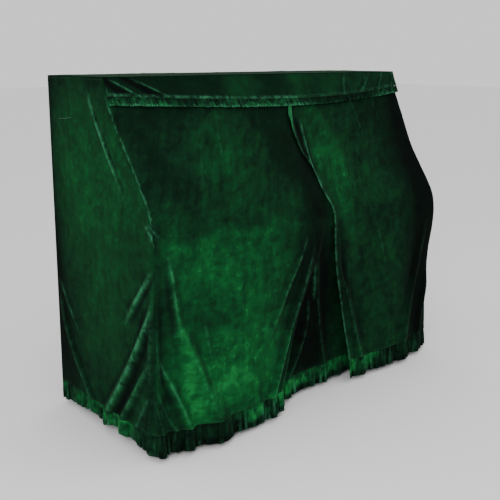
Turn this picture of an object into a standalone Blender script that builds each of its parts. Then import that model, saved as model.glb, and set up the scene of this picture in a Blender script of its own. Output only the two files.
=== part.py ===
"""A fitted velvet cover for an upright piano, hanging as it does over the piano that it hides.

Frame, in metres: +X to the right as seen from the keyboard side, +Y to the wall behind, +Z up.
The origin is the middle of the top panel's underside, where the piano's lid carries the cover.
A "drop" is a distance below that underside. A "run" is a distance along the cover's plan outline
from a front corner: negative along the side towards the back, positive along the front.
"""
import math
from collections import namedtuple

import bmesh
import bpy
from mathutils import Vector
from mathutils.geometry import delaunay_2d_cdt

# ---------------------------------------------------------------- driving sizes
TOP_WIDTH = 1.52          # top panel, left to right
TOP_DEPTH = 0.385         # top panel, front to back
SKIRT_DROP = 1.18         # from the top to the seam of the bottom frill
FRILL_HEIGHT = 0.08       # bottom frill, from its seam to its hem
CLOTH = 0.0025            # velvet with its pile, measured level
SEAM = 0.0003             # between two pieces that are sewn together
LAP = 0.090               # how far the left front runs on under the right front
EDGE_ROLL = 0.004         # how far the right front's free edge rolls out
EDGE_ROLL_WIDTH = 0.030

FRONT_EDGE = -TOP_DEPTH / 2
BACK_EDGE = TOP_DEPTH / 2
SIDE_FLARE = 0.022        # how far a side leans out, per metre of drop
FRONT_SET_BACK = 0.009    # the front panels start this far behind the valance
GREEN = (0.010, 0.120, 0.040)
PILE_ROUGHNESS = 0.85

LEFT, RIGHT = -1, 1

# ---------------------------------------------------------------- tables
# How far the front stands out from the top's front edge, at each end of the keyboard.
Reach = namedtuple("Reach", "drop left right")
FRONT_PROFILE = (
    Reach(0.00, -FRONT_SET_BACK, -FRONT_SET_BACK),
    Reach(0.09, 0.022, 0.026),
    Reach(0.21, 0.104, 0.078),
    Reach(0.32, 0.186, 0.126),
    Reach(0.42, 0.250, 0.190),
    Reach(0.52, 0.266, 0.252),
    Reach(0.62, 0.270, 0.271),
    Reach(0.80, 0.262, 0.258),
    Reach(1.00, 0.262, 0.254),
    Reach(1.18, 0.270, 0.262),
)

# Round of a front corner, tight above the keyboard and wide at the hem.
Corner = namedtuple("Corner", "tight wide")
CORNERS = {LEFT: Corner(0.012, 0.070), RIGHT: Corner(0.022, 0.070)}
CORNER_OPENS = 0.40       # drop at which a corner starts to widen
CORNER_OPEN = 1.10        # and at which it is at its widest

# The right front's free edge lies over the left front, at edge_x. The left front falls back
# beneath it by "sink", starting at falls_x.
Opening = namedtuple("Opening", "drop edge_x falls_x sink")
FRONT_OPENING = (
    Opening(0.00, 0.060, -0.004, 0.0060),
    Opening(0.09, 0.058, -0.004, 0.0060),
    Opening(0.16, 0.040, -0.014, 0.0065),
    Opening(0.24, 0.034, -0.018, 0.0068),
    Opening(0.34, 0.044, -0.010, 0.0070),
    Opening(0.43, 0.057, 0.000, 0.0075),
    Opening(0.51, 0.082, 0.010, 0.0085),
    Opening(0.62, 0.080, -0.004, 0.0140),
    Opening(0.72, 0.096, -0.036, 0.0260),
    Opening(0.90, 0.142, -0.105, 0.0460),
    Opening(1.18, 0.205, -0.212, 0.0560),
)
SINK_WIDTH = 0.04         # a shallow sink takes this width to reach its depth
SINK_WIDENS = 0.6         # a deep one takes this share of its depth more
SINK_LINES = (0.6, 1.0)   # shares of that width at which the cloth has points

# A fold starts at drop "top" and ends at drop "bottom". Its centre moves from "at_top" to
# "at_bottom", steeply first when "bow" is over 1. It stands out by "out" at full strength,
# and one that dies before the hem has "dies" True.
Fold = namedtuple("Fold", "name top at_top bottom at_bottom bow half_top half_bottom out dies")
FOLD_RISES = 0.40         # share of a fold's length over which it comes to full strength
FOLD_DIES_FROM = 0.55     # share of its length from which a dying fold gets weaker

# Folds that leave the front corners, placed by their run from the corner.
LEFT_CORNER_FOLDS = (
    Fold("side_drag", 0.02, -0.108, 0.42, -0.134, 1.0, 0.022, 0.032, 0.009, True),
    Fold("arm_tuck", 0.58, -0.004, 0.84, -0.186, 1.0, 0.020, 0.034, 0.010, True),
    Fold("long_side_fold", 0.66, -0.006, SKIRT_DROP, -0.325, 1.2, 0.022, 0.048, 0.017, False),
    Fold("short_side_fold", 0.88, -0.014, SKIRT_DROP, -0.210, 1.2, 0.018, 0.034, 0.016, False),
    Fold("back_drag", 0.78, -0.628, SKIRT_DROP, -0.425, 1.6, 0.022, 0.034, 0.010, False),
    Fold("corner_crest", 0.58, -0.006, 1.10, -0.034, 1.0, 0.018, 0.026, 0.012, True),
    Fold("corner_hollow", 0.58, 0.024, SKIRT_DROP, 0.060, 1.0, 0.026, 0.045, -0.018, False),
    Fold("corner_fold", 0.88, 0.004, SKIRT_DROP, 0.135, 0.85, 0.020, 0.032, 0.017, False),
    Fold("key_end_drag", 0.52, 0.048, 0.88, 0.110, 1.0, 0.020, 0.028, 0.009, True),
    Fold("broad_front_fold", 0.74, 0.085, SKIRT_DROP, 0.245, 1.1, 0.026, 0.075, 0.032, False),
)
RIGHT_CORNER_FOLDS = (
    Fold("side_drag", 0.03, -0.100, 0.40, -0.140, 1.0, 0.026, 0.036, 0.008, True),
    Fold("long_side_fold", 0.70, -0.040, SKIRT_DROP, -0.300, 1.1, 0.026, 0.055, 0.019, False),
    Fold("back_drag", 0.80, -0.600, SKIRT_DROP, -0.500, 1.6, 0.026, 0.036, 0.010, False),
    Fold("corner_fold", 0.84, 0.020, SKIRT_DROP, 0.105, 1.1, 0.024, 0.042, 0.017, False),
    Fold("key_end_drag", 0.60, 0.075, SKIRT_DROP, 0.240, 1.2, 0.028, 0.060, 0.018, False),
)

# Folds of the two front panels, placed by X.
LEFT_FRONT_FOLDS = (
    Fold("belly", 0.60, -0.390, SKIRT_DROP, -0.390, 1.0, 0.260, 0.330, 0.036, False),
    Fold("upper_ripple", 0.10, -0.345, 0.46, -0.390, 1.0, 0.060, 0.075, 0.006, True),
    Fold("gather_outer", 0.56, -0.060, 1.00, -0.318, 1.2, 0.020, 0.040, 0.009, True),
    Fold("gather_edge", 0.60, -0.020, SKIRT_DROP, -0.275, 1.2, 0.022, 0.036, 0.018, False),
    Fold("gather_inner", 0.84, -0.002, SKIRT_DROP, -0.120, 2.4, 0.022, 0.034, 0.018, False),
    Fold("gather_middle", 0.62, 0.002, SKIRT_DROP, 0.100, 1.1, 0.022, 0.040, 0.014, False),
)
RIGHT_FRONT_FOLDS = (
    Fold("belly", 0.60, 0.480, SKIRT_DROP, 0.480, 1.0, 0.220, 0.250, 0.026, False),
    Fold("upper_ripple", 0.12, 0.200, 0.48, 0.250, 1.0, 0.060, 0.080, 0.005, True),
    Fold("edge_fold", 0.72, 0.130, SKIRT_DROP, 0.275, 1.0, 0.026, 0.045, 0.016, False),
)

# The valance sags towards the middle and is dragged at its ends.
VALANCE_STAND = 0.0090    # its outer face, in front of the front panels' outer face
VALANCE_BAND_END = 0.056  # drop of its lower edge at the ends
VALANCE_BAND_SAG = 0.030  # and how much lower it is in the middle
VALANCE_BAND_SKEW = 0.40  # the sag leans to the right by this share
VALANCE_FRILL_HEIGHT = 0.026
VALANCE_LEVELS = (0.0, 0.33, 0.67, 1.0)
VALANCE_SPACING = 0.034
VALANCE_FOLDS = (
    Fold("outer_drag", 0.000, -0.750, 0.075, -0.615, 1.0, 0.014, 0.022, 0.0050, False),
    Fold("inner_drag", 0.000, -0.665, 0.080, -0.490, 1.0, 0.014, 0.022, 0.0045, False),
    Fold("right_drag", 0.000, 0.560, 0.080, 0.515, 1.0, 0.016, 0.022, 0.0040, False),
)

# Gathers: their pitch, how far they swing at the seam and at the free edge, how uneven they are,
# how far the free edge stands out beyond the seam, and how far it is drawn up in its middle.
Gather = namedtuple("Gather", "pitch seam_swing hem_swing uneven lean drawn_up")
FRONT_GATHER = Gather(0.042, 0.0015, 0.0085, 0.30, 0.006, 0.000)
SIDE_GATHER = Gather(0.050, 0.0015, 0.0070, 0.45, 0.001, 0.010)
VALANCE_GATHER = Gather(0.024, 0.0008, 0.0026, 0.25, 0.002, 0.000)
STEPS_PER_GATHER = 5
GATHER_DRIFT = (0.57, 0.22)   # wavelengths over which the pitch comes and goes
GATHER_DEPTH = 0.37           # wavelength over which the depth comes and goes
FRILL_UNEVEN = 0.004          # the bottom frill's hem rises and falls by this
FRILL_WAVE = 0.70             # over this wavelength
FRILL_FACING = 0.012          # half the width over which its direction is taken

# The levels at which neighbouring panels share the points of their seams.
SEAM_LEVELS = (SEAM, 0.04, 0.09, 0.15, 0.22, 0.30, 0.37, 0.43, 0.48, 0.53, 0.58, 0.63, 0.69,
               0.76, 0.83, 0.90, 0.97, 1.04, 1.11, SKIRT_DROP)
LOOSE_SPACING = 0.075     # between points where the cloth is nearly flat
FOLD_SPACING = 0.042      # between points along a fold
HEM_SPACING = 0.030       # between points along the frill's seam
BACK_SPACING = 0.32       # between rows of the plain back panel
BACK_COLUMNS = 6
TOP_COLUMNS, TOP_ROWS = 12, 4
FOLD_START = 0.02         # a fold's first points are this far below its top
FOLD_LINES = (0.0, -0.5, 0.5, -1.0, 1.0)   # shares of its half width that have points
FOLD_CLEAR = 0.42         # share of its half width kept free around each of them
FOLD_CLEAR_MOST = 0.62    # share of the loose spacing kept free at the most
LOOSE_CLEAR = 0.50        # and around each loose point
RIM_CLEAR = 0.60          # share of a point's own clear distance kept free at the rim


# ---------------------------------------------------------------- curves
def ramp(low, high, value):
    """Rise smoothly from 0 at low to 1 at high."""
    share = min(max((value - low) / (high - low), 0.0), 1.0)
    return share * share * (3 - 2 * share)


def read_rows(rows, drop, column):
    """Read a column of a table at a drop, along a smooth curve through its rows."""
    drops = [row.drop for row in rows]
    values = [getattr(row, column) for row in rows]
    last = len(rows) - 1
    drop = min(max(drop, drops[0]), drops[last])
    at = max(i for i in range(last) if drops[i] <= drop)

    def slope(i):
        before, after = max(i - 1, 0), min(i + 1, last)
        return (values[after] - values[before]) / (drops[after] - drops[before])

    span = drops[at + 1] - drops[at]
    t = (drop - drops[at]) / span
    from_start = (1 + 2 * t) * (1 - t) ** 2 * values[at] + t * (1 - t) ** 2 * span * slope(at)
    from_end = t * t * (3 - 2 * t) * values[at + 1] - t * t * (1 - t) * span * slope(at + 1)
    return from_start + from_end


def half_width(drop):
    """Half of the cover's width at a drop."""
    return TOP_WIDTH / 2 + SIDE_FLARE * drop


def front_line(x, drop):
    """Y of the front's plain surface, which changes evenly from the left end to the right."""
    share = ramp(-TOP_WIDTH / 2, TOP_WIDTH / 2, x)
    left = read_rows(FRONT_PROFILE, drop, "left")
    right = read_rows(FRONT_PROFILE, drop, "right")
    return FRONT_EDGE - left - (right - left) * share


def corner_radius(hand, drop):
    """Round of a front corner, which opens out below the keyboard."""
    corner = CORNERS[hand]
    return corner.tight + (corner.wide - corner.tight) * ramp(CORNER_OPENS, CORNER_OPEN, drop)


def fold_centre(fold, drop):
    """Share of a fold's length that lies above a drop, its centre there and its half width."""
    share = min(max((drop - fold.top) / (fold.bottom - fold.top), 0.0), 1.0)
    centre = fold.at_top + (fold.at_bottom - fold.at_top) * share ** fold.bow
    half = fold.half_top + (fold.half_bottom - fold.half_top) * share
    return share, centre, half


def fold_height(fold, at, drop):
    """How far a fold lifts the cloth at a place."""
    share, centre, half = fold_centre(fold, drop)
    across = abs(at - centre) / half
    if across >= 1 or share <= 0:
        return 0.0
    strength = ramp(0, FOLD_RISES, share)
    if fold.dies:
        strength *= 1 - ramp(FOLD_DIES_FROM, 1.0, share)
    return fold.out * strength * 0.5 * (1 + math.cos(math.pi * across))


# ---------------------------------------------------------------- the hanging cloth
def corner_folds_of(hand):
    return LEFT_CORNER_FOLDS if hand == LEFT else RIGHT_CORNER_FOLDS


def front_folds_of(hand):
    return LEFT_FRONT_FOLDS if hand == LEFT else RIGHT_FRONT_FOLDS


def folds_of(hand):
    return corner_folds_of(hand) + front_folds_of(hand)


def sink_slope(drop):
    """Where the left front starts to fall back beneath the right front, and over what width."""
    sink = read_rows(FRONT_OPENING, drop, "sink")
    return read_rows(FRONT_OPENING, drop, "falls_x"), SINK_WIDTH + SINK_WIDENS * sink


def lift(hand, run, drop):
    """How far the folds lift the cloth off its plain outline."""
    x = hand * (half_width(drop) - run)
    total = sum(fold_height(fold, run, drop) for fold in corner_folds_of(hand))
    if run <= 0:
        return total
    total += sum(fold_height(fold, x, drop) for fold in front_folds_of(hand))
    if hand == LEFT:
        start, width = sink_slope(drop)
        sink = read_rows(FRONT_OPENING, drop, "sink")
        return total - sink * ramp(start, start + width, x)
    edge = read_rows(FRONT_OPENING, drop, "edge_x")
    return total + EDGE_ROLL * (1 - ramp(edge, edge + EDGE_ROLL_WIDTH, x))


def wall_point(hand, run, drop):
    """A point of the skirt's outer face, in plan, at a drop."""
    wide = half_width(drop)
    corner_y = front_line(hand * wide, drop)
    radius = corner_radius(hand, drop)
    turn = min(max((run + radius) / (2 * radius), 0.0), 1.0)
    x, y = wide, corner_y
    if run <= -radius:
        y = corner_y - run
    elif run >= radius:
        x = wide - run
        y = front_line(hand * x, drop)
    else:
        x = wide - radius * turn * turn
        blend = front_line(hand * x, drop) - corner_y
        y = corner_y + radius * (1 - turn) ** 2 + blend
    facing = Vector((hand * math.cos(turn * math.pi / 2), -math.sin(turn * math.pi / 2)))
    return Vector((hand * x, y)) + facing * lift(hand, run, drop)


def wall_facing(hand, run, drop, step=0.002):
    """The skirt's outward direction in plan, the same on both sides of the corner seam."""
    if abs(run) < SEAM:
        run = 0.0
    along = wall_point(hand, run + step, drop) - wall_point(hand, run - step, drop)
    facing = Vector((-along.y, along.x)) * hand
    return facing.normalized()


# ---------------------------------------------------------------- making meshes
def velvet(name, green):
    """Deep green velvet; green is its brightness beside the other pieces."""
    material = bpy.data.materials.new(name)
    material.use_nodes = True
    shader = material.node_tree.nodes["Principled BSDF"]
    shader.inputs["Base Color"].default_value = (*(part * green for part in GREEN), 1)
    shader.inputs["Roughness"].default_value = PILE_ROUGHNESS
    shader.inputs["Metallic"].default_value = 0.0
    return material


def add_object(name, built, green):
    mesh = bpy.data.meshes.new(name)
    bmesh.ops.recalc_face_normals(built, faces=built.faces)
    built.to_mesh(mesh)
    built.free()
    mesh.shade_smooth()
    mesh.set_sharp_from_angle(angle=math.radians(40))
    mesh.materials.append(velvet(name + "_velvet", green))
    thing = bpy.data.objects.new(name, mesh)
    bpy.context.scene.collection.objects.link(thing)
    return thing


def close_sheet(outer, inner, faces):
    """A closed thin solid from two matching layers of points and the faces of one of them.

    The rim's diagonals run from each upper outer point to the lower inner one, so that two
    twisted rims that face each other across a seam stay parallel.
    """
    built = bmesh.new()
    front = [built.verts.new(p) for p in outer]
    back = [built.verts.new(p) for p in inner]
    for face in faces:
        built.faces.new([front[i] for i in face])
    rim = [edge for edge in built.edges if edge.is_boundary]
    order = {vert: i for i, vert in enumerate(front)}
    for face in faces:
        built.faces.new([back[i] for i in reversed(face)])
    for edge in rim:
        upper, lower = sorted((order[vert] for vert in edge.verts), key=lambda i: -outer[i][2])
        built.faces.new((front[upper], front[lower], back[lower]))
        built.faces.new((front[upper], back[lower], back[upper]))
    return built


def spread_points(rim, fold_lines, width, height):
    """Points for a sheet: its rim, then its folds, then a loose grid, none too close together."""
    points = list(rim)

    def add(across, drop, clear):
        inside = min(across, width - across, drop, height - drop)
        if inside < clear * RIM_CLEAR:
            return
        if all(math.hypot(across - p[0], drop - p[1]) > clear for p in points):
            points.append((across, drop))

    for across, drop, clear in fold_lines:
        add(across, drop, clear)
    columns = round(width / LOOSE_SPACING)
    for row, drop in enumerate(SEAM_LEVELS[1:-1]):
        for column in range(columns + 1):
            across = (column + 0.5 * (row % 2)) * width / columns
            add(across, drop, LOOSE_SPACING * LOOSE_CLEAR)
    return points


def grid_faces(columns, rows):
    """Faces of a sheet whose points are listed column by column."""
    faces = []
    for i in range(columns - 1):
        for j in range(rows - 1):
            a = i * rows + j
            faces.append((a, a + 1, a + rows + 1, a + rows))
    return faces


def steps(low, high, spacing):
    """Even steps from low to high, both included."""
    count = max(1, round((high - low) / spacing))
    return [low + (high - low) * i / count for i in range(count + 1)]


def beside_fold(hand, fold, part, drop, to_across):
    """A point at a share of a fold's half width, square to the fold, and its clear distance."""
    def line_across(level):
        at = fold_centre(fold, level)[1]
        run = at if fold in corner_folds_of(hand) else half_width(level) - hand * at
        return to_across(run, level)

    nudge = 0.005
    tilt = (line_across(drop + nudge) - line_across(drop - nudge)) / (2 * nudge)
    half = fold_centre(fold, drop)[2]
    aside = part * half / (1 + tilt * tilt)
    clear = min(FOLD_CLEAR * half / math.hypot(1, tilt), FOLD_CLEAR_MOST * LOOSE_SPACING)
    return line_across(drop) + aside, drop - tilt * aside, clear


def skirt_panel(name, hand, run_start, run_end, green):
    """A panel of the skirt, between two runs that may change with the drop."""
    width = run_end(SKIRT_DROP) - run_start(SKIRT_DROP)

    def to_run(across, drop):
        low, high = run_start(drop), run_end(drop)
        return low + (high - low) * across / width

    def to_across(run, drop):
        low, high = run_start(drop), run_end(drop)
        return (run - low) / (high - low) * width

    rim = [(side, drop) for drop in SEAM_LEVELS for side in (0.0, width)]
    rim += [(across, SKIRT_DROP) for across in steps(0, width, HEM_SPACING)[1:-1]]
    rim += [(across, SEAM) for across in steps(0, width, 2 * LOOSE_SPACING)[1:-1]]

    lines = []
    for part in FOLD_LINES:
        for fold in folds_of(hand):
            for drop in steps(fold.top + FOLD_START, fold.bottom, FOLD_SPACING):
                lines.append(beside_fold(hand, fold, part, drop, to_across))
        for drop in SEAM_LEVELS[1:-1]:
            radius = corner_radius(hand, drop)
            if part:
                lines.append((to_across(part * radius, drop), drop, radius * FOLD_CLEAR))
    if hand == LEFT:
        for drop in SEAM_LEVELS[1:-1]:
            start, width_of_slope = sink_slope(drop)
            for part in SINK_LINES:
                run = half_width(drop) + start + part * width_of_slope
                lines.append((to_across(run, drop), drop, width_of_slope * FOLD_CLEAR))
    points = spread_points(rim, lines, width, SKIRT_DROP)

    flat = [Vector((-hand * across, -drop)) for across, drop in points]
    faces = delaunay_2d_cdt(flat, [], [], 0, 1e-6)[2]
    outer, inner = [], []
    for across, drop in points:
        run = to_run(across, drop)
        place = wall_point(hand, run, drop)
        back = place - wall_facing(hand, run, drop) * CLOTH
        outer.append((place.x, place.y, -drop))
        inner.append((back.x, back.y, -drop))
    return add_object(name, close_sheet(outer, inner, faces), green)


def gather_swing(gather, along):
    """Swing of a gather between -1 and 1; the pleats are uneven in width and depth."""
    slow, quick = (math.sin(2 * math.pi * along / length) for length in GATHER_DRIFT)
    turns = along / gather.pitch + gather.uneven * (slow + 0.5 * quick)
    depth = 1 - gather.uneven * (0.5 + 0.5 * math.sin(2 * math.pi * along / GATHER_DEPTH + 1))
    return depth * math.sin(2 * math.pi * turns)


def ribbon(name, length, gather, place_at, levels, green):
    """A gathered strip: place_at(along, level) gives its outer point and outward direction."""
    outer, inner = [], []
    stations = steps(0, length, gather.pitch / STEPS_PER_GATHER)
    for along in stations:
        for level in levels:
            place, facing = place_at(along, level)
            swing = gather.seam_swing + (gather.hem_swing - gather.seam_swing) * level
            place = place + facing * swing * gather_swing(gather, along)
            outer.append(place)
            inner.append(place - facing * CLOTH)
    faces = grid_faces(len(stations), len(levels))
    return add_object(name, close_sheet(outer, inner, faces), green)


def bottom_frill(name, hand, run_start, run_end, gather, green):
    """The gathered strip under one panel."""
    def place_at(along, level):
        run = run_start + along
        plan = wall_point(hand, run, SKIRT_DROP)
        facing = wall_facing(hand, run, SKIRT_DROP, FRILL_FACING)
        plan = plan + facing * gather.lean * level
        uneven = FRILL_UNEVEN * math.sin(2 * math.pi * run / FRILL_WAVE + hand)
        uneven -= gather.drawn_up * math.sin(math.pi * along / (run_end - run_start))
        drop = SKIRT_DROP + SEAM + (FRILL_HEIGHT + uneven) * level
        return Vector((plan.x, plan.y, -drop)), Vector((facing.x, facing.y, 0))

    return ribbon(name, run_end - run_start, gather, place_at, (0.0, 0.5, 1.0), green)


# ---------------------------------------------------------------- the pieces
def top_panel():
    """The flat panel on the piano's lid."""
    outer, inner = [], []
    for i in range(TOP_COLUMNS + 1):
        for j in range(TOP_ROWS + 1):
            x = TOP_WIDTH * (i / TOP_COLUMNS - 0.5)
            y = FRONT_EDGE + TOP_DEPTH * j / TOP_ROWS
            outer.append((x, y, CLOTH))
            inner.append((x, y, 0.0))
    faces = grid_faces(TOP_COLUMNS + 1, TOP_ROWS + 1)
    return add_object("top_panel", close_sheet(outer, inner, faces), 1.0)


def back_panel():
    """The plain panel behind, which ends level with the frill."""
    outer, inner = [], []
    levels = steps(SEAM, SKIRT_DROP + FRILL_HEIGHT, BACK_SPACING)
    for drop in levels:
        for column in range(BACK_COLUMNS + 1):
            x = (2 * column / BACK_COLUMNS - 1) * half_width(drop)
            outer.append((x, BACK_EDGE, -drop))
            inner.append((x, BACK_EDGE - CLOTH, -drop))
    faces = grid_faces(len(levels), BACK_COLUMNS + 1)
    return add_object("back_panel", close_sheet(outer, inner, faces), 0.8)


def band_drop(x):
    """Drop of the seam between the valance and its frill."""
    across = 2 * x / TOP_WIDTH
    return VALANCE_BAND_END + VALANCE_BAND_SAG * (1 - across ** 2) * (1 + VALANCE_BAND_SKEW * across)


def valance_y(x, drop):
    """Y of the valance's outer face."""
    drags = sum(fold_height(fold, x, drop) for fold in VALANCE_FOLDS)
    return front_line(x, drop) - VALANCE_STAND - drags


def valance():
    """The band across the top of the front."""
    outer, inner = [], []
    stations = steps(-TOP_WIDTH / 2, TOP_WIDTH / 2, VALANCE_SPACING)
    for x in stations:
        for level in VALANCE_LEVELS:
            drop = SEAM + (band_drop(x) - SEAM) * level
            y = valance_y(x, drop)
            outer.append((x, y, -drop))
            inner.append((x, y + CLOTH, -drop))
    faces = grid_faces(len(stations), len(VALANCE_LEVELS))
    return add_object("valance", close_sheet(outer, inner, faces), 0.8)


def valance_frill():
    """The narrow gathered strip along the valance's lower edge."""
    def place_at(along, level):
        x = along - TOP_WIDTH / 2
        drop = band_drop(x) + SEAM + VALANCE_FRILL_HEIGHT * level
        y = valance_y(x, drop) - VALANCE_GATHER.lean * level
        return Vector((x, y, -drop)), Vector((0, -1, 0))

    return ribbon("valance_frill", TOP_WIDTH, VALANCE_GATHER, place_at, (0.0, 1.0), 1.1)


def side_start(hand):
    """Where a side panel begins, just inside the back panel."""
    def run(drop):
        return front_line(hand * half_width(drop), drop) - (BACK_EDGE - CLOTH - SEAM)
    return run


def middle_end(hand):
    """Where a front panel ends at the front opening."""
    def run(drop):
        edge = read_rows(FRONT_OPENING, drop, "edge_x")
        if hand == LEFT:
            return half_width(drop) + edge + LAP
        return half_width(drop) - edge
    return run


def corner_seam(side):
    """Half a seam's gap away from the front corner: -1 on the side panel, 1 on the front."""
    def run(_drop):
        return side * SEAM / 2
    return run


def build():
    for thing in list(bpy.data.objects):
        bpy.data.objects.remove(thing, do_unlink=True)
    top_panel()
    valance()
    valance_frill()
    back_panel()
    for hand, word in ((LEFT, "left"), (RIGHT, "right")):
        skirt_panel(f"side_panel_{word}", hand, side_start(hand), corner_seam(-1), 1.0)
        skirt_panel(f"front_panel_{word}", hand, corner_seam(1), middle_end(hand), 0.9)
        bottom_frill(f"side_frill_{word}", hand, side_start(hand)(SKIRT_DROP), -SEAM / 2,
                     SIDE_GATHER, 1.1)
        bottom_frill(f"front_frill_{word}", hand, SEAM / 2, middle_end(hand)(SKIRT_DROP),
                     FRONT_GATHER, 1.1)


build()
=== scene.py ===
# %% [markdown]
# # A fitted velvet cover for an upright piano
# The cover is sewn from twelve pieces of deep green velvet: a flat top panel, a valance with its
# own narrow frill, two front panels that lap over each other, two sides, a plain back and the
# gathered frills at the hem. The packed model holds each of them as a plain folded sheet. Here
# every one gets a finer sheet on the same folds, with its creases, gathers, stitches and pile.

# %% Load the frame
import math
from collections import namedtuple

import bpy
import numpy as np
from mathutils import Matrix, Vector


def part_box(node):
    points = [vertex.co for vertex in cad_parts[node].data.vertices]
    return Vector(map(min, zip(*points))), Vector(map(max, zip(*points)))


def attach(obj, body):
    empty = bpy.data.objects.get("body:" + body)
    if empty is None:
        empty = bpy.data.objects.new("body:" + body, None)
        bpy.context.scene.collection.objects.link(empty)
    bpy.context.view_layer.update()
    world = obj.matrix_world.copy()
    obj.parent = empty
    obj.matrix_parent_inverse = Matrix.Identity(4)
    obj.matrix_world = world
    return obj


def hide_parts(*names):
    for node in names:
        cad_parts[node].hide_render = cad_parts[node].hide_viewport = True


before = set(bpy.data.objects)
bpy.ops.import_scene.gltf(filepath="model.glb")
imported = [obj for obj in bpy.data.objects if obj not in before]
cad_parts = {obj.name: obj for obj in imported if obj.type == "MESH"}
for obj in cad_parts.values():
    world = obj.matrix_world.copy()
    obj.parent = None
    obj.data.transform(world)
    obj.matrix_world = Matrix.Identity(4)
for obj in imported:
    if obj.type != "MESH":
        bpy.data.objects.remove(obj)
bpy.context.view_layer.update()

# %% [markdown]
# ## Sizes
# The piano under the cover sets its size. The driving sizes are read from the frame, so that the
# sheets made here always fit the packed pieces. X runs to the right, Y to the back and Z up. A
# "drop" is a distance below the top panel's underside. A "run" is a distance along the cover's
# outline from a front corner: negative along the side, positive along the front.

# %% Driving sizes
top_low, top_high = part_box("top_panel")
TOP_WIDTH = top_high.x - top_low.x
TOP_DEPTH = top_high.y - top_low.y
CLOTH = top_high.z - top_low.z
SKIRT_DROP = -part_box("side_panel_left")[0].z
HEM_DROP = -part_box("back_panel")[0].z
FRILL_HEIGHT = HEM_DROP - SKIRT_DROP
SIDE_EDGE = TOP_WIDTH / 2
FRONT_EDGE, BACK_EDGE = -TOP_DEPTH / 2, TOP_DEPTH / 2
SEAM = 0.0003             # between two pieces that are sewn together
LEFT, RIGHT = -1, 1
WORDS = {LEFT: "left", RIGHT: "right"}
print(f"top {TOP_WIDTH:.3f} x {TOP_DEPTH:.3f} m, skirt {SKIRT_DROP:.3f} m, hem at {HEM_DROP:.3f} m")

# %% [markdown]
# ## How the cloth hangs
# A tailor would describe the front by its profile: it slopes out over the keyboard and then
# hangs straight. The corners are tight at the top and open into a round towards the hem. At the
# front opening the right panel's free edge wanders down the front, and the left panel sinks away
# beneath it. All of this is three short tables, read at any drop.

# %% Profile, corners and opening
FRONT_SET_BACK = 0.009    # the front panels start this far behind the valance
Reach = namedtuple("Reach", "drop left right")       # how far out the front stands at either end
FRONT_PROFILE = (
    Reach(0.00, -FRONT_SET_BACK, -FRONT_SET_BACK),
    Reach(0.09, 0.022, 0.026),
    Reach(0.21, 0.104, 0.078),
    Reach(0.32, 0.186, 0.126),
    Reach(0.42, 0.250, 0.190),
    Reach(0.52, 0.266, 0.252),
    Reach(0.62, 0.270, 0.271),
    Reach(0.80, 0.262, 0.258),
    Reach(1.00, 0.262, 0.254),
    Reach(1.18, 0.270, 0.262),
)

Corner = namedtuple("Corner", "tight wide")          # a corner's radius above and below
CORNERS = {LEFT: Corner(0.012, 0.070), RIGHT: Corner(0.022, 0.070)}
CORNER_OPENS, CORNER_OPEN = 0.40, 1.10               # the drops between which a corner opens

# The right panel's free edge, where the left panel starts to sink, and how far it sinks.
Opening = namedtuple("Opening", "drop edge_x falls_x sink")
FRONT_OPENING = (
    Opening(0.00, 0.060, -0.004, 0.0060),
    Opening(0.09, 0.050, -0.004, 0.0060),
    Opening(0.13, 0.034, -0.012, 0.0063),
    Opening(0.16, 0.022, -0.018, 0.0065),
    Opening(0.24, 0.019, -0.022, 0.0068),
    Opening(0.29, 0.023, -0.018, 0.0069),
    Opening(0.34, 0.043, -0.010, 0.0070),
    Opening(0.43, 0.053, 0.000, 0.0075),
    Opening(0.51, 0.082, 0.010, 0.0085),
    Opening(0.62, 0.080, -0.004, 0.0140),
    Opening(0.72, 0.096, -0.036, 0.0260),
    Opening(0.90, 0.142, -0.105, 0.0460),
    Opening(1.18, 0.205, -0.212, 0.0560),
)
SINK_WIDTH, SINK_WIDENS = 0.04, 0.6                  # the left panel sinks over this width of X
print("profile:", len(FRONT_PROFILE), "levels, opening:", len(FRONT_OPENING), "levels")

# %% [markdown]
# ## Folds
# Heavy velvet breaks into a few long folds that leave the corners and the opening. Sculpting them
# would give softer shapes, but nothing to adjust afterwards. So each fold is one row of a table:
# where it starts and ends, how its line bows, how wide it is, how far it stands out, whether it
# dies away, and its glint: how strong the painted highlight on its crest is or, for a hollow, how
# dark the painted shade on its floor is.

# %% Folds of the packed solids
Fold = namedtuple("Fold", "name top at_top bottom at_bottom bow half_top half_bottom out dies glint")
HEM = SKIRT_DROP

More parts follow.
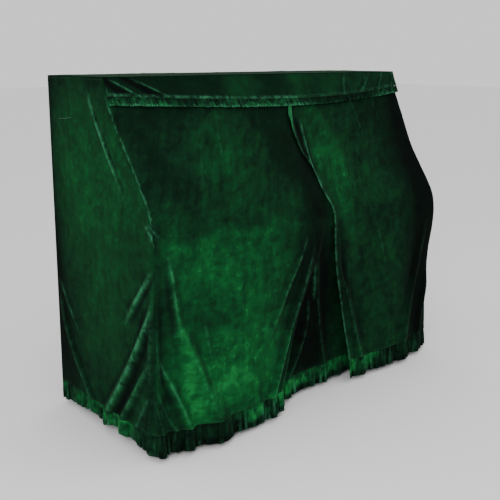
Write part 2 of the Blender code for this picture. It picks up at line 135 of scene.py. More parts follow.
# Folds that leave the front corners, placed by their run.
CORNER_FOLDS = {
    LEFT: (
        Fold("side_drag", 0.02, -0.108, 0.42, -0.134, 1.0, 0.013, 0.018, 0.005, True, 0.9),
        Fold("arm_tuck", 0.58, -0.004, 0.84, -0.186, 1.0, 0.020, 0.034, 0.010, True, 0.95),
        Fold("long_side_fold", 0.66, -0.004, HEM, -0.304, 1.45, 0.022, 0.048, 0.017, False, 1.05),
        Fold("short_side_fold", 0.88, -0.014, HEM, -0.210, 1.2, 0.018, 0.034, 0.016, False, 0.45),
        Fold("back_drag", 0.78, -0.628, HEM, -0.425, 1.6, 0.022, 0.034, 0.010, False, 0.24),
        Fold("corner_crest", 0.58, -0.006, 1.10, -0.034, 1.0, 0.018, 0.026, 0.012, True, 0.18),
        Fold("corner_hollow", 0.58, 0.024, HEM, 0.060, 1.0, 0.026, 0.045, -0.018, False, 0.30),
        Fold("corner_fold", 0.88, 0.004, HEM, 0.135, 0.85, 0.020, 0.032, 0.017, False, 0.5),
        Fold("key_end_drag", 0.52, 0.048, 0.88, 0.110, 1.0, 0.020, 0.028, 0.009, True, 0.7),
        Fold("broad_front_fold", 0.74, 0.085, HEM, 0.245, 1.1, 0.026, 0.075, 0.032, False, 0.15),
    ),
    RIGHT: (
        Fold("side_drag", 0.03, -0.100, 0.40, -0.140, 1.0, 0.026, 0.036, 0.008, True, 0.5),
        Fold("long_side_fold", 0.70, -0.040, HEM, -0.300, 1.1, 0.026, 0.055, 0.019, False, 0.6),
        Fold("back_drag", 0.80, -0.600, HEM, -0.500, 1.6, 0.026, 0.036, 0.010, False, 0.4),
        Fold("corner_fold", 0.84, 0.020, HEM, 0.105, 1.1, 0.024, 0.042, 0.017, False, 0.10),
        Fold("key_end_drag", 0.60, 0.075, HEM, 0.240, 1.2, 0.028, 0.060, 0.018, False, 0.10),
    ),
}

# Folds of the two front panels, placed by X.
FRONT_FOLDS = {
    LEFT: (
        Fold("belly", 0.60, -0.390, HEM, -0.390, 1.0, 0.260, 0.330, 0.036, False, 0.0),
        Fold("upper_ripple", 0.10, -0.345, 0.46, -0.390, 1.0, 0.060, 0.075, 0.006, True, 0.0),
        Fold("gather_outer", 0.56, -0.060, 1.00, -0.318, 1.2, 0.020, 0.040, 0.009, True, 0.5),
        Fold("gather_edge", 0.60, -0.020, HEM, -0.275, 1.2, 0.022, 0.036, 0.018, False, 0.45),
        Fold("gather_inner", 0.84, -0.002, HEM, -0.120, 2.4, 0.022, 0.034, 0.018, False, 0.25),
        Fold("gather_middle", 0.62, 0.002, HEM, 0.100, 1.1, 0.022, 0.040, 0.014, False, 0.2),
    ),
    RIGHT: (
        Fold("belly", 0.60, 0.480, HEM, 0.480, 1.0, 0.220, 0.250, 0.026, False, 0.0),
        Fold("upper_ripple", 0.12, 0.200, 0.48, 0.250, 1.0, 0.060, 0.080, 0.005, True, 0.0),
        Fold("edge_fold", 0.72, 0.130, HEM, 0.275, 1.0, 0.026, 0.045, 0.016, False, 0.2),
    ),
}
print("folds:", sum(len(rows) for table in (CORNER_FOLDS, FRONT_FOLDS) for rows in table.values()))

# %% [markdown]
# ## Fine creases
# Between the large folds the cloth has creases of a few millimetres. They are too small for the
# packed solids, so they are built here alone, by the same kind of row.

# %% Fine creases
FINE_CORNER_FOLDS = {
    LEFT: (
        Fold("tuck_upper", 0.445, -0.036, 0.500, 0.004, 1.0, 0.006, 0.007, 0.0030, True, 0.9),
        Fold("tuck_middle", 0.440, -0.018, 0.490, 0.026, 1.0, 0.005, 0.006, 0.0026, True, 0.9),
        Fold("tuck_lower", 0.465, -0.010, 0.530, 0.006, 1.0, 0.005, 0.007, 0.0026, True, 0.8),
        Fold("back_crease", 0.74, -0.645, 0.96, -0.475, 1.0, 0.010, 0.014, 0.0030, True, 0.4),
        Fold("low_crease", 1.030, -0.030, HEM, -0.125, 1.0, 0.008, 0.014, 0.0045, False, 0.35),
        Fold("middle_crease", 1.020, -0.016, HEM, -0.050, 1.0, 0.007, 0.011, 0.0040, False, 0.1),
        Fold("heel_crease", 1.020, -0.015, HEM, 0.030, 1.0, 0.007, 0.011, 0.0040, False, 0.12),
        Fold("front_crease", 1.000, 0.000, HEM, 0.088, 1.2, 0.007, 0.012, 0.0040, False, 0.2),
        Fold("knee_crease", 0.82, 0.004, 1.00, 0.022, 1.0, 0.007, 0.010, 0.0025, True, 0.2),
    ),
    RIGHT: (
        Fold("tuck_upper", 0.540, -0.036, 0.620, 0.004, 1.0, 0.006, 0.008, 0.0028, True, 0.5),
        Fold("low_crease", 1.020, -0.030, HEM, -0.110, 1.0, 0.008, 0.014, 0.0045, False, 0.4),
        Fold("heel_crease", 1.000, 0.000, HEM, 0.020, 1.0, 0.008, 0.012, 0.0040, False, 0.4),
    ),
}
FINE_FRONT_FOLDS = {
    LEFT: (
        Fold("slope_line", 0.12, -0.330, 0.34, -0.415, 1.0, 0.012, 0.016, 0.0018, True, 0.10),
        Fold("slope_line_low", 0.20, -0.440, 0.40, -0.550, 1.0, 0.014, 0.018, 0.0018, True, 0.08),
        Fold("gather_thread", 0.64, -0.012, 1.00, -0.158, 1.1, 0.006, 0.009, 0.0035, True, 0.45),
        Fold("gather_pinch", 0.70, 0.002, 0.90, 0.030, 1.0, 0.006, 0.009, 0.0040, True, 0.6),
        Fold("low_pinch", 0.98, -0.090, HEM, -0.215, 1.0, 0.008, 0.012, 0.0040, False, 0.4),
        Fold("belly_line", 0.78, -0.580, 0.98, -0.545, 1.0, 0.012, 0.016, 0.0025, True, 0.2),
    ),
    RIGHT: (
        Fold("start_roll", 0.060, 0.074, 0.235, 0.002, 1.0, 0.018, 0.016, 0.0090, True, 1.0),
        Fold("turned_edge", 0.150, 0.086, 0.477, 0.021, 1.0, 0.010, 0.012, 0.0050, True, 1.0),
        Fold("turned_hollow", 0.150, 0.058, 0.360, 0.030, 1.0, 0.014, 0.010, -0.0040, True, 1.0),
        Fold("edge_trough", 0.540, 0.106, 1.020, 0.205, 1.0, 0.020, 0.024, -0.0060, True, 0.7),
        Fold("slope_line", 0.08, 0.420, 0.30, 0.440, 1.0, 0.012, 0.016, 0.0020, True, 0.10),
        Fold("slope_line_right", 0.06, 0.560, 0.24, 0.575, 1.0, 0.010, 0.014, 0.0020, True, 0.10),
        Fold("low_line", 0.60, 0.350, 0.86, 0.430, 1.0, 0.016, 0.022, 0.0028, True, 0.10),
    ),
}
RUN_FOLDS = {hand: CORNER_FOLDS[hand] + FINE_CORNER_FOLDS[hand] for hand in WORDS}
X_FOLDS = {hand: FRONT_FOLDS[hand] + FINE_FRONT_FOLDS[hand] for hand in WORDS}
print("with fine creases:", sum(len(rows) for table in (RUN_FOLDS, X_FOLDS) for rows in table.values()))

# %% [markdown]
# ## From tables to a surface
# Every level cut through the skirt is one curve in plan. Working with whole arrays at once,
# numpy gives a hundred thousand points of that surface in a moment, which plain loops would not.

# %% Curves
def ramp(low, high, value):
    """Rise smoothly from 0 at low to 1 at high."""
    share = np.clip((value - low) / (high - low), 0.0, 1.0)
    return share * share * (3 - 2 * share)


def bell(offset, half):
    """1 in the middle, and falling away softly on both sides."""
    return np.exp(-(offset / half) ** 2)


def read_rows(rows, place, column):
    """Read a column of a table at each place, along a smooth curve through its rows."""
    places = np.array([row[0] for row in rows])
    values = np.array([getattr(row, column) for row in rows])
    last = len(rows) - 1
    before = np.maximum(np.arange(last + 1) - 1, 0)
    after = np.minimum(np.arange(last + 1) + 1, last)
    slopes = (values[after] - values[before]) / (places[after] - places[before])
    place = np.clip(place, places[0], places[last])
    at = np.clip(np.searchsorted(places, place, side="right") - 1, 0, last - 1)
    span = places[at + 1] - places[at]
    t = (place - places[at]) / span
    start = (1 + 2 * t) * (1 - t) ** 2 * values[at] + t * (1 - t) ** 2 * span * slopes[at]
    end = t * t * (3 - 2 * t) * values[at + 1] - t * t * (1 - t) * span * slopes[at + 1]
    return start + end


print("halfway up a ramp:", ramp(0.0, 1.0, 0.5), "one half width off a bell:", round(float(bell(1, 1)), 3))

# %% Plain outline
SIDE_FLARE = 0.022        # how far a side leans out, per metre of drop


def half_width(drop):
    return SIDE_EDGE + SIDE_FLARE * drop


def panel_x(hand, run, drop):
    """X of a run along the front."""
    return hand * (half_width(drop) - run)


def free_edge(drop):
    """X of the right front panel's free edge."""
    return read_rows(FRONT_OPENING, drop, "edge_x")


def front_line(x, drop):
    """Y of the front's plain surface."""
    left = read_rows(FRONT_PROFILE, drop, "left")
    right = read_rows(FRONT_PROFILE, drop, "right")
    return FRONT_EDGE - left - (right - left) * ramp(-SIDE_EDGE, SIDE_EDGE, x)


def side_start(hand, drop):
    """The run at which a side meets the back."""
    return front_line(hand * half_width(drop), drop) - (BACK_EDGE - CLOTH - SEAM)


def corner_radius(hand, drop):
    corner = CORNERS[hand]
    return corner.tight + (corner.wide - corner.tight) * ramp(CORNER_OPENS, CORNER_OPEN, drop)


print(f"at the hem: {2 * half_width(HEM):.3f} m wide, sides {-float(side_start(LEFT, HEM)):.3f} m deep")

# %% [markdown]
# ## Randomness with a seed
# No two lengths of velvet are alike, but a model has to come out the same each time. A lattice of
# random numbers from a fixed seed, joined smoothly, gives soft hills that never change.

# %% Soft hills
Hills = namedtuple("Hills", "height along down seed")
LATTICE = 64              # the hills repeat after this many


def soft_noise(rows, along, down, shift=0):
    """Smooth random hills. Each row says how high they are, how long, how wide and which."""
    total = 0
    for row in rows:
        lattice = np.random.default_rng(row.seed + shift).uniform(-1, 1, (LATTICE, LATTICE))
        u, v = along / row.along, down / row.down
        i, j = np.floor(u).astype(int), np.floor(v).astype(int)
        corners = (lattice[i % LATTICE, j % LATTICE], lattice[(i + 1) % LATTICE, j % LATTICE],
                   lattice[i % LATTICE, (j + 1) % LATTICE], lattice[(i + 1) % LATTICE, (j + 1) % LATTICE])
        across = ramp(0, 1, u - i)
        near = corners[0] + (corners[1] - corners[0]) * across
        far = corners[2] + (corners[3] - corners[2]) * across
        total = total + row.height * (near + (far - near) * ramp(0, 1, v - j))
    return total


print("one hill:", round(float(soft_noise([Hills(1.0, 1.0, 1.0, 7)], np.array(0.5), np.array(0.5))), 3))

# %% [markdown]
# ## Across a fold
# The same row of a table gives two things: how far the fold lifts the cloth, and the light and
# shade painted on it. The crest gets a painted highlight, and painted shade lies on its feet, one foot most.

# %% Across a fold
FOLD_RISES, FOLD_DIES_FROM = 0.40, 0.55              # shares of a fold's length
HALO, SHADE = 0.30, 0.34  # painted highlight on a crest, and painted shade on its feet
LEAST_GLINT = 0.12        # every crest gets at least this much painted highlight
CREST_WIDE, FLOOR_WIDE = 0.30, 0.65                  # half widths over the fold's own half width
DARK_FOOT, DARK_FOOT_WIDE = 0.85, 0.45
OTHER_FOOT, OTHER_FOOT_WIDE, OTHER_FOOT_SHADE = -0.95, 0.35, 0.4


def fold_across(fold, at, drop):
    """Offset from a fold's centre, its half width and its strength there."""
    share = np.clip((drop - fold.top) / (fold.bottom - fold.top), 0.0, 1.0)
    centre = fold.at_top + (fold.at_bottom - fold.at_top) * share ** fold.bow
    half = fold.half_top + (fold.half_bottom - fold.half_top) * share
    strength = ramp(0, FOLD_RISES, share)
    if fold.dies:
        strength = strength * (1 - ramp(FOLD_DIES_FROM, 1.0, share))
    return at - centre, half, strength


def fold_height(fold, at, drop):
    offset, half, strength = fold_across(fold, at, drop)
    return fold.out * strength * 0.5 * (1 + np.cos(np.pi * np.minimum(np.abs(offset) / half, 1.0)))


def fold_light_and_shade(fold, at, drop, dark_side):
    """Painted light and shade across a fold: a highlight on the crest and shade on its feet, one foot most.
    """
    offset, half, strength = fold_across(fold, at, drop)
    across = offset / half
    if fold.out < 0:
        return -SHADE * fold.glint * strength * bell(across, FLOOR_WIDE)
    crest = HALO * bell(across, CREST_WIDE)
    dark_foot = SHADE * bell(across * dark_side - DARK_FOOT, DARK_FOOT_WIDE)
    other_foot = OTHER_FOOT_SHADE * SHADE * bell(across * dark_side - OTHER_FOOT, OTHER_FOOT_WIDE)
    return max(fold.glint, LEAST_GLINT) * strength * (crest - dark_foot - other_foot)


tallest = max((fold for rows in RUN_FOLDS.values() for fold in rows), key=lambda fold: fold.out)
print("tallest fold:", tallest.name, tallest.out, "m")

# %% [markdown]
# ## The skirt's wall
# The fine relief is added to the folds of the packed solids: a slow wave with the drop of heavy
# cloth, and a small crumple where velvet has been crushed. Both fade out at the top seam.

# %% The wall in plan
WAVES = (Hills(0.0012, 0.075, 0.26, 11), Hills(0.0006, 0.040, 0.12, 21), Hills(0.0005, 0.016, 0.022, 31))
CRUMPLES = (Hills(0.0005, 0.009, 0.012, 41),)
RELIEF_FADES = 0.10       # the relief comes up over this drop below the top seam
OPENING_CLEAR = 0.10      # and dies out this far from the front opening
EDGE_ROLL = 0.004         # how far the right front's free edge rolls out
EDGE_ROLL_WIDTH = 0.030


def fine_relief(hand, run, drop):
    relief = soft_noise(WAVES, run, drop, hand) + soft_noise(CRUMPLES, run, drop)
    from_edge = np.abs(panel_x(hand, run, drop) - free_edge(drop))
    return relief * ramp(0, RELIEF_FADES, drop) * ramp(0, OPENING_CLEAR, from_edge)


def lift(hand, run, drop):
    """How far folds and relief lift the cloth off its plain outline."""
    x, on_front = panel_x(hand, run, drop), run > 0
    total = fine_relief(hand, run, drop)
    total = total + sum(fold_height(fold, run, drop) for fold in RUN_FOLDS[hand])
    total = total + sum(fold_height(fold, x, drop) for fold in X_FOLDS[hand]) * on_front
    if hand == LEFT:
        start = read_rows(FRONT_OPENING, drop, "falls_x")
        sink = read_rows(FRONT_OPENING, drop, "sink")
        return total - sink * ramp(start, start + SINK_WIDTH + SINK_WIDENS * sink, x) * on_front
    edge = free_edge(drop)
    return total + EDGE_ROLL * (1 - ramp(edge, edge + EDGE_ROLL_WIDTH, x)) * on_front


def wall_point(hand, run, drop):
    """Points of the skirt's outer face in plan: arrays of X and Y."""
    wide, radius = half_width(drop), corner_radius(hand, drop)
    turn = np.clip((run + radius) / (2 * radius), 0.0, 1.0)
    x = wide - np.where(run >= radius, run, radius * turn * turn)
    y = front_line(hand * x, drop) + radius * (1 - turn) ** 2
    y = np.where(run <= -radius, front_line(hand * wide, drop) - run, y)
    lifted = lift(hand, run, drop)
    return hand * (x + np.cos(turn * np.pi / 2) * lifted), y - np.sin(turn * np.pi / 2) * lifted


def wall_grid(hand, run, drop, step=0.002):
    """Points of the skirt's outer face, and the level way that each one faces."""
    x, y = wall_point(hand, run, drop)
    x0, y0 = wall_point(hand, run - step, drop)
    x1, y1 = wall_point(hand, run + step, drop)
    long = np.hypot(x1 - x0, y1 - y0)
    facing = np.stack([-hand * (y1 - y0) / long, hand * (x1 - x0) / long, 0 * long], -1)
    return np.stack([x, y, -drop], -1), facing


print("corner at hem:", [round(float(c), 3) for c in wall_point(LEFT, np.array(0.0), np.array(HEM))])

# %% [markdown]
# ## The lay of the pile, and painted light and shade
# Velvet looks dark where its pile points at you and light where it leans away. On top of that
# lay, whole regions get painted light and painted shade as an attribute, from a table of broad
# soft patches. The material reads it later.

# %% Patches of the front panels
# "at" is X, half_at and half_drop are a patch's half sizes, and "lighter" is the change.
Patch = namedtuple("Patch", "name at drop half_at half_drop lighter")
# Each patch is painted light or painted shade on a front panel.
FRONT_PATCHES = (
    Patch("upper_left_shade", -0.66, 0.22, 0.14, 0.22, -0.10),
    Patch("upper_glow", -0.36, 0.27, 0.16, 0.15, 0.12),
    Patch("under_valance", -0.34, 0.09, 0.46, 0.06, -0.12),
    Patch("shade_by_opening", -0.05, 0.26, 0.13, 0.28, -0.14),
    Patch("corner_band", -0.76, 0.62, 0.04, 0.14, -0.16),
    Patch("corner_glow", -0.71, 0.49, 0.06, 0.08, 0.16),
    Patch("bulge_glow", -0.54, 0.64, 0.17, 0.09, 0.15),
    Patch("bulge_rim", -0.59, 0.555, 0.08, 0.035, 0.05),
    Patch("bulge_rim_right", -0.43, 0.525, 0.09, 0.020, 0.05),
    Patch("over_rim", -0.40, 0.465, 0.11, 0.030, 0.07),
    Patch("rim_left", -0.575, 0.525, 0.05, 0.018, 0.09),
    Patch("belly_shade", -0.52, 0.82, 0.11, 0.06, -0.17),
    Patch("left_low_glow", -0.57, 1.04, 0.10, 0.16, 0.22),
    Patch("hem_shade", -0.49, 1.17, 0.09, 0.05, -0.14),
    Patch("edge_glow", -0.11, 0.46, 0.08, 0.09, 0.20),
    Patch("slope_shade_left", -0.65, 0.33, 0.06, 0.06, -0.08),
    Patch("slope_shade_top", -0.49, 0.15, 0.12, 0.06, -0.06),
    Patch("slope_shade_right", -0.26, 0.24, 0.07, 0.10, -0.05),
    Patch("gather_glow", -0.24, 0.64, 0.08, 0.07, 0.10),
    Patch("low_glow", -0.36, 1.00, 0.20, 0.22, 0.18),
    Patch("gather_shade", 0.02, 0.88, 0.15, 0.42, -0.66),
    Patch("heel_shade", -0.76, 1.10, 0.06, 0.16, -0.08),
    Patch("right_glow", 0.17, 0.34, 0.09, 0.16, 0.22),
    Patch("right_edge_glow", 0.14, 0.56, 0.09, 0.23, 0.24),
    Patch("right_top_shade", 0.48, 0.18, 0.15, 0.13, -0.11),
    Patch("right_start_shade", 0.27, 0.11, 0.10, 0.05, -0.08),
    Patch("right_slope_shade", 0.56, 0.34, 0.09, 0.16, -0.05),
    Patch("right_shade", 0.78, 0.50, 0.14, 0.60, -0.66),
    Patch("right_low_dark", 0.76, 0.90, 0.13, 0.34, -0.40),
    Patch("key_shade", 0.38, 0.55, 0.24, 0.06, -0.08),
    Patch("right_low_shade", 0.62, 0.90, 0.20, 0.30, -0.10),
    Patch("flank_top_glow", -0.72, 0.985, 0.024, 0.05, 0.16),
    Patch("flank_side_shade", -0.655, 0.96, 0.022, 0.05, -0.07),
    Patch("low_middle_glow", -0.46, 1.06, 0.042, 0.09, 0.13),
    Patch("hem_shade_left", -0.66, 1.17, 0.05, 0.028, -0.10),
    Patch("hem_shade_right", -0.53, 1.17, 0.045, 0.025, -0.16),
    Patch("toe_shade", -0.775, 1.15, 0.035, 0.05, -0.14),
    Patch("edge_foot_shade", -0.203, 1.115, 0.034, 0.055, -0.20),
    Patch("gather_line_shade", -0.180, 0.915, 0.034, 0.040, -0.13),
    Patch("rim_spot", -0.42, 0.532, 0.026, 0.020, 0.13),
    Patch("slope_glow_left", -0.66, 0.41, 0.032, 0.045, 0.08),
    Patch("belly_glow", -0.50, 0.865, 0.09, 0.030, 0.08),
    Patch("broad_top_shade", -0.73, 0.78, 0.030, 0.06, -0.08),
    Patch("bulge_spot", -0.346, 0.69, 0.045, 0.035, -0.07),
    Patch("right_low_glow", 0.21, 0.74, 0.045, 0.07, 0.07),
    Patch("right_start_spot", 0.23, 0.20, 0.035, 0.035, -0.06),
    Patch("edge_side_glow", 0.075, 0.44, 0.018, 0.10, 0.09),
    Patch("edge_low_glow", 0.125, 0.75, 0.020, 0.06, 0.08),
)
print("front patches:", len(FRONT_PATCHES))

# %% Patches of the side panels
# Here "at" is the run. Each patch is painted light or painted shade on a side panel.
SIDE_PATCHES = (
    Patch("top_shade", -0.20, 0.00, 0.40, 0.09, -0.16),
    Patch("corner_top_shade", -0.04, 0.02, 0.07, 0.07, -0.08),
    Patch("back_shade", -0.55, 0.88, 0.12, 0.28, -0.15),
    Patch("low_shade", -0.34, 1.12, 0.20, 0.14, -0.12),
    Patch("fold_shade", -0.16, 0.86, 0.10, 0.14, -0.06),
    Patch("seam_shade", -0.03, 0.92, 0.04, 0.12, -0.10),
    Patch("tuck_shade", -0.13, 0.56, 0.09, 0.10, -0.08),
    Patch("upper_glow", -0.24, 0.30, 0.22, 0.26, 0.07),
    Patch("upper_back_glow", -0.42, 0.39, 0.11, 0.13, 0.08),
    Patch("middle_glow", -0.34, 0.66, 0.16, 0.16, 0.04),
    Patch("seam_low_shade", -0.004, 0.86, 0.024, 0.07, -0.17),
    Patch("seam_key_shade", -0.050, 0.64, 0.030, 0.045, -0.16),
    Patch("over_tuck_shade", -0.075, 0.78, 0.045, 0.05, -0.09),
    Patch("between_glow", -0.098, 0.905, 0.020, 0.045, 0.13),
    Patch("drag_end_glow", -0.096, 0.32, 0.022, 0.030, 0.09),
    Patch("seam_top_shade", -0.018, 0.105, 0.022, 0.035, -0.08),
)
print("side patches:", len(SIDE_PATCHES))

# %% [markdown]
# ## Bands along the folds
# Some folds get painted light along a whole bright flank, or painted shade in a dark hollow beside
# them, wider than a crest. These bands lie along the folds, so they are rows of the same kind:
# their "out" is the change in lightness. The first table is placed by run and the second by X.

# %% Bands along the folds
RUN_BANDS = {
    LEFT: (
        Fold("broad_flank", 0.72, 0.098, HEM, 0.162, 1.0, 0.014, 0.042, 0.34, False, 0),
        Fold("broad_foot", 0.80, 0.150, 1.14, 0.236, 1.0, 0.012, 0.018, -0.24, True, 0),
        Fold("arm_hollow", 0.64, -0.018, 1.02, -0.150, 1.1, 0.016, 0.020, -0.20, True, 0),
        Fold("side_hollow", 0.80, -0.030, HEM, -0.236, 1.4, 0.013, 0.020, -0.18, False, 0),
        Fold("side_flank", 0.74, -0.014, HEM, -0.283, 1.45, 0.010, 0.018, 0.12, False, 0),
        Fold("heel_hollow", 0.96, -0.012, HEM, -0.060, 1.0, 0.012, 0.050, -0.20, False, 0),
        Fold("seam_hollow", 0.56, 0.020, 1.00, 0.034, 1.0, 0.014, 0.024, -0.12, True, 0),
        Fold("back_hollow", 0.40, -0.655, HEM, -0.560, 2.0, 0.030, 0.070, -0.20, False, 0),
    ),
    RIGHT: (
        Fold("side_hollow", 0.80, -0.040, HEM, -0.230, 1.2, 0.020, 0.030, -0.20, False, 0),
    ),
}
X_BANDS = {
    LEFT: (
        Fold("under_edge", 0.14, 0.030, 0.46, 0.040, 1.0, 0.020, 0.040, -0.14, True, 0),
    ),
    RIGHT: (
        Fold("roll_light", 0.065, 0.066, 0.245, 0.008, 1.0, 0.012, 0.010, 1.05, True, 0),
        Fold("gap_between", 0.150, 0.058, 0.400, 0.026, 1.0, 0.012, 0.010, -0.60, True, 0),
        Fold("beside_edge", 0.120, 0.110, 0.460, 0.090, 1.0, 0.014, 0.018, 0.12, True, 0),
        Fold("edge_flank", 0.520, 0.092, HEM, 0.225, 1.0, 0.008, 0.014, 0.14, False, 0),
    ),
}
print("bands:", sum(len(rows) for table in (RUN_BANDS, X_BANDS) for rows in table.values()))

# %% [markdown]
# ## All of the lay and the painted light together
# Each panel starts from one plain lightness. The left front is painted darker on its slope than
# where it hangs, changing at the keyboard's edge. The painted light and shade of patches, folds and
# bands is added to that, and painted shade darkens a side towards the back.

# %% Lay of the pile, with painted light and shade
DARKEST, LIGHTEST = 0.02, 0.95
SIDE_LAY = 0.46           # lightness of a side, before its patches
# The front's plain lightness on the slope and where it hangs: painted shade on the left slope.
FrontLayAndLight = namedtuple("FrontLayAndLight", "slope hanging")
FRONT_LAY_AND_LIGHT = {LEFT: FrontLayAndLight(0.35, 0.50), RIGHT: FrontLayAndLight(0.37, 0.37)}
KEY_LINE = 0.52           # drop at which the front stops sloping and hangs
KEY_LINE_FROM, KEY_LINE_TO = -0.026, 0.028           # the front's painted lightness turns over this much drop
KEY_LINE_HILLS = (Hills(0.018, 0.09, 0.07, 51), Hills(0.010, 0.02, 0.02, 52))
CORNER_FROM, CORNER_TO = -0.02, 0.012                # the runs between which side turns to front
BACK_EDGE_WIDE, BACK_EDGE_NARROW = 0.06, 0.02        # painted shade darkens a side over these runs at the back
BACK_EDGE_SHADE, BACK_EDGE_LINE = 0.18, 0.10


def patches(rows, at, drop):
    return sum(patch.lighter * bell(at - patch.at, patch.half_at) * bell(drop - patch.drop, patch.half_drop)
               for patch in rows)


# Painted light along a band, and painted shade where its out is below zero.
def band_light_and_shade(band, at, drop):
    offset, half, strength = fold_across(band, at, drop)
    return band.out * strength * bell(offset, half)


def pile_lay_and_light(hand, run, drop):
    """Lightness from 0, dark, to 1, light: the pile's lay with painted light and shade."""
    x, on_front = panel_x(hand, run, drop), run > 0
    below = drop + soft_noise(KEY_LINE_HILLS, run, drop) - KEY_LINE
    plain = FRONT_LAY_AND_LIGHT[hand]
    front = plain.slope + (plain.hanging - plain.slope) * ramp(KEY_LINE_FROM, KEY_LINE_TO, below)
    front = front + patches(FRONT_PATCHES, x, drop)
    from_back = run - side_start(hand, drop)
    side = SIDE_LAY + patches(SIDE_PATCHES, run, drop) - BACK_EDGE_SHADE * bell(from_back, BACK_EDGE_WIDE)
    side = side - BACK_EDGE_LINE * bell(from_back, BACK_EDGE_NARROW)
    lay = side + (front - side) * ramp(CORNER_FROM, CORNER_TO, run)
    lay = lay + sum(fold_light_and_shade(fold, run, drop, -np.sign(fold.at_bottom)) for fold in RUN_FOLDS[hand])
    lay = lay + sum(fold_light_and_shade(fold, x, drop, 1) for fold in X_FOLDS[hand]) * on_front
    lay = lay + sum(band_light_and_shade(band, run, drop) for band in RUN_BANDS[hand])
    lay = lay + sum(band_light_and_shade(band, x, drop) for band in X_BANDS[hand]) * on_front
    return np.clip(lay, DARKEST, LIGHTEST)


print("lay in the middle of a side:", round(float(pile_lay_and_light(LEFT, np.array(-0.30), np.array(0.50))), 3))

# %% [markdown]
# ## Painted highlights on an edge and a seam
# A thin painted highlight runs along the corner seam and the right front's free edge. Its
# strength is a second attribute.

# %% Pale lines
Shine = namedtuple("Shine", "drop light")
EDGE_SHINE = (            # painted highlight on the free edge of the right front, down its length
    Shine(0.00, 0.7), Shine(0.10, 0.9), Shine(0.20, 0.35), Shine(0.33, 0.35), Shine(0.38, 0.9),
    Shine(0.54, 0.85), Shine(0.64, 0.65), Shine(1.18, 0.6))
EDGE_LINE, SEAM_LINE = 0.0092, 0.0034                # half widths of the lines
SEAM_SHINE = {LEFT: 0.9, RIGHT: 0.3}
SEAM_SHOWS, SEAM_ENDS = (0.03, 0.12), (0.42, 0.50)   # the drops over which it appears and fades


def seam_and_edge_highlight(hand, run, drop):
    """Painted highlight lines along the corner seam and the free edge."""
    shown = ramp(*SEAM_SHOWS, drop) * (1 - ramp(*SEAM_ENDS, drop))
    light = SEAM_SHINE[hand] * shown * bell(run, SEAM_LINE)
    if hand == LEFT:
        return light
    from_edge = panel_x(hand, run, drop) - free_edge(drop)
    return np.maximum(light, read_rows(EDGE_SHINE, drop, "light") * bell(from_edge, EDGE_LINE))


print("edge shine at the keyboard:", round(float(read_rows(EDGE_SHINE, KEY_LINE, "light")), 3))

# %% [markdown]
# ## A helper for node trees
# Long chains of Math nodes are hard to read. One small class wraps a socket and overloads the
# operators, so that an expression in Python adds its nodes by itself, in materials and in
# Geometry Nodes alike. Every node goes through one method, add().

# %% Wires
class Wire:
    """A number that flows through a node tree. Arithmetic on it adds Math nodes."""
    def __init__(self, tree, socket):
        self.tree, self.socket = tree, socket

    def math(self, operation, *values):
        sockets = dict(enumerate(values))
        return self.tree.add("ShaderNodeMath", {"operation": operation}, sockets).out("Value")

    def __add__(self, other):
        return self.math("ADD", self, other)

    def __radd__(self, other):
        return self.math("ADD", other, self)

    def __sub__(self, other):
        return self.math("SUBTRACT", self, other)

    def __rsub__(self, other):
        return self.math("SUBTRACT", other, self)

    def __mul__(self, other):
        return self.math("MULTIPLY", self, other)

    def __rmul__(self, other):
        return self.math("MULTIPLY", other, self)

    def __truediv__(self, other):
        return self.math("DIVIDE", self, other)

    def __pow__(self, other):
        return self.math("POWER", self, other)

    def sine(self):
        return self.math("SINE", self)

    def at_least(self, low):
        return self.math("MAXIMUM", self, low)

    def at_most(self, high):
        return self.math("MINIMUM", self, high)


print("wires can also do:", [word for word in vars(Wire) if not word.startswith("__")])

# %% Nodes and trees
class Node:
    """A node that was added, with its outputs by name."""
    def __init__(self, tree, node):
        self.tree, self.node = tree, node

    def out(self, name):
        return Wire(self.tree, self.node.outputs[name])


class Tree:
    """A node tree that is written as expressions."""
    def __init__(self, nodes_of):
        self.nodes_of = nodes_of

    def add(self, kind, settings=None, values=None):
        """Add a node: first its settings, then its sockets' values or links."""
        node = self.nodes_of.nodes.new(kind)
        for name, value in (settings or {}).items():
            if name == "stops":
                self.set_stops(node, value)
            else:
                setattr(node, name, value)
        self.feed(node, values or {})
        return Node(self, node)

    def feed(self, node, values):
        """Give a node's sockets their values or links."""
        for name, value in values.items():
            if isinstance(value, Wire):
                self.nodes_of.links.new(value.socket, node.inputs[name])
            else:
                node.inputs[name].default_value = value

    @staticmethod
    def set_stops(node, stops):
        ramp_stops = node.color_ramp.elements
        while len(ramp_stops) < len(stops):
            ramp_stops.new(0.5)
        for stop, (place, colour) in zip(ramp_stops, stops):
            stop.position, stop.color = place, (*colour, 1)

    def attribute(self, name):
        return self.add("ShaderNodeAttribute", {"attribute_name": name}).out("Fac")

    def mix_colour(self, share, first, second):
        """Colours go through a Mix node, because a Math node would turn them grey."""
        colours = {0: share, 6: first, 7: second}    # by number: its sockets share their names
        return self.add("ShaderNodeMix", {"data_type": "RGBA"}, colours).out(2)

    def bump(self, height, strength, distance):
        return self.add("ShaderNodeBump", {}, {"Strength": strength, "Distance": distance,
                                               "Height": height}).out("Normal")


def new_material(name):
    """An empty material: its tree of nodes and its shader."""
    material = bpy.data.materials.new(name)
    material.use_nodes = True
    return material, Tree(material.node_tree), material.node_tree.nodes["Principled BSDF"]


print("helpers ready: wires, nodes, trees and materials")
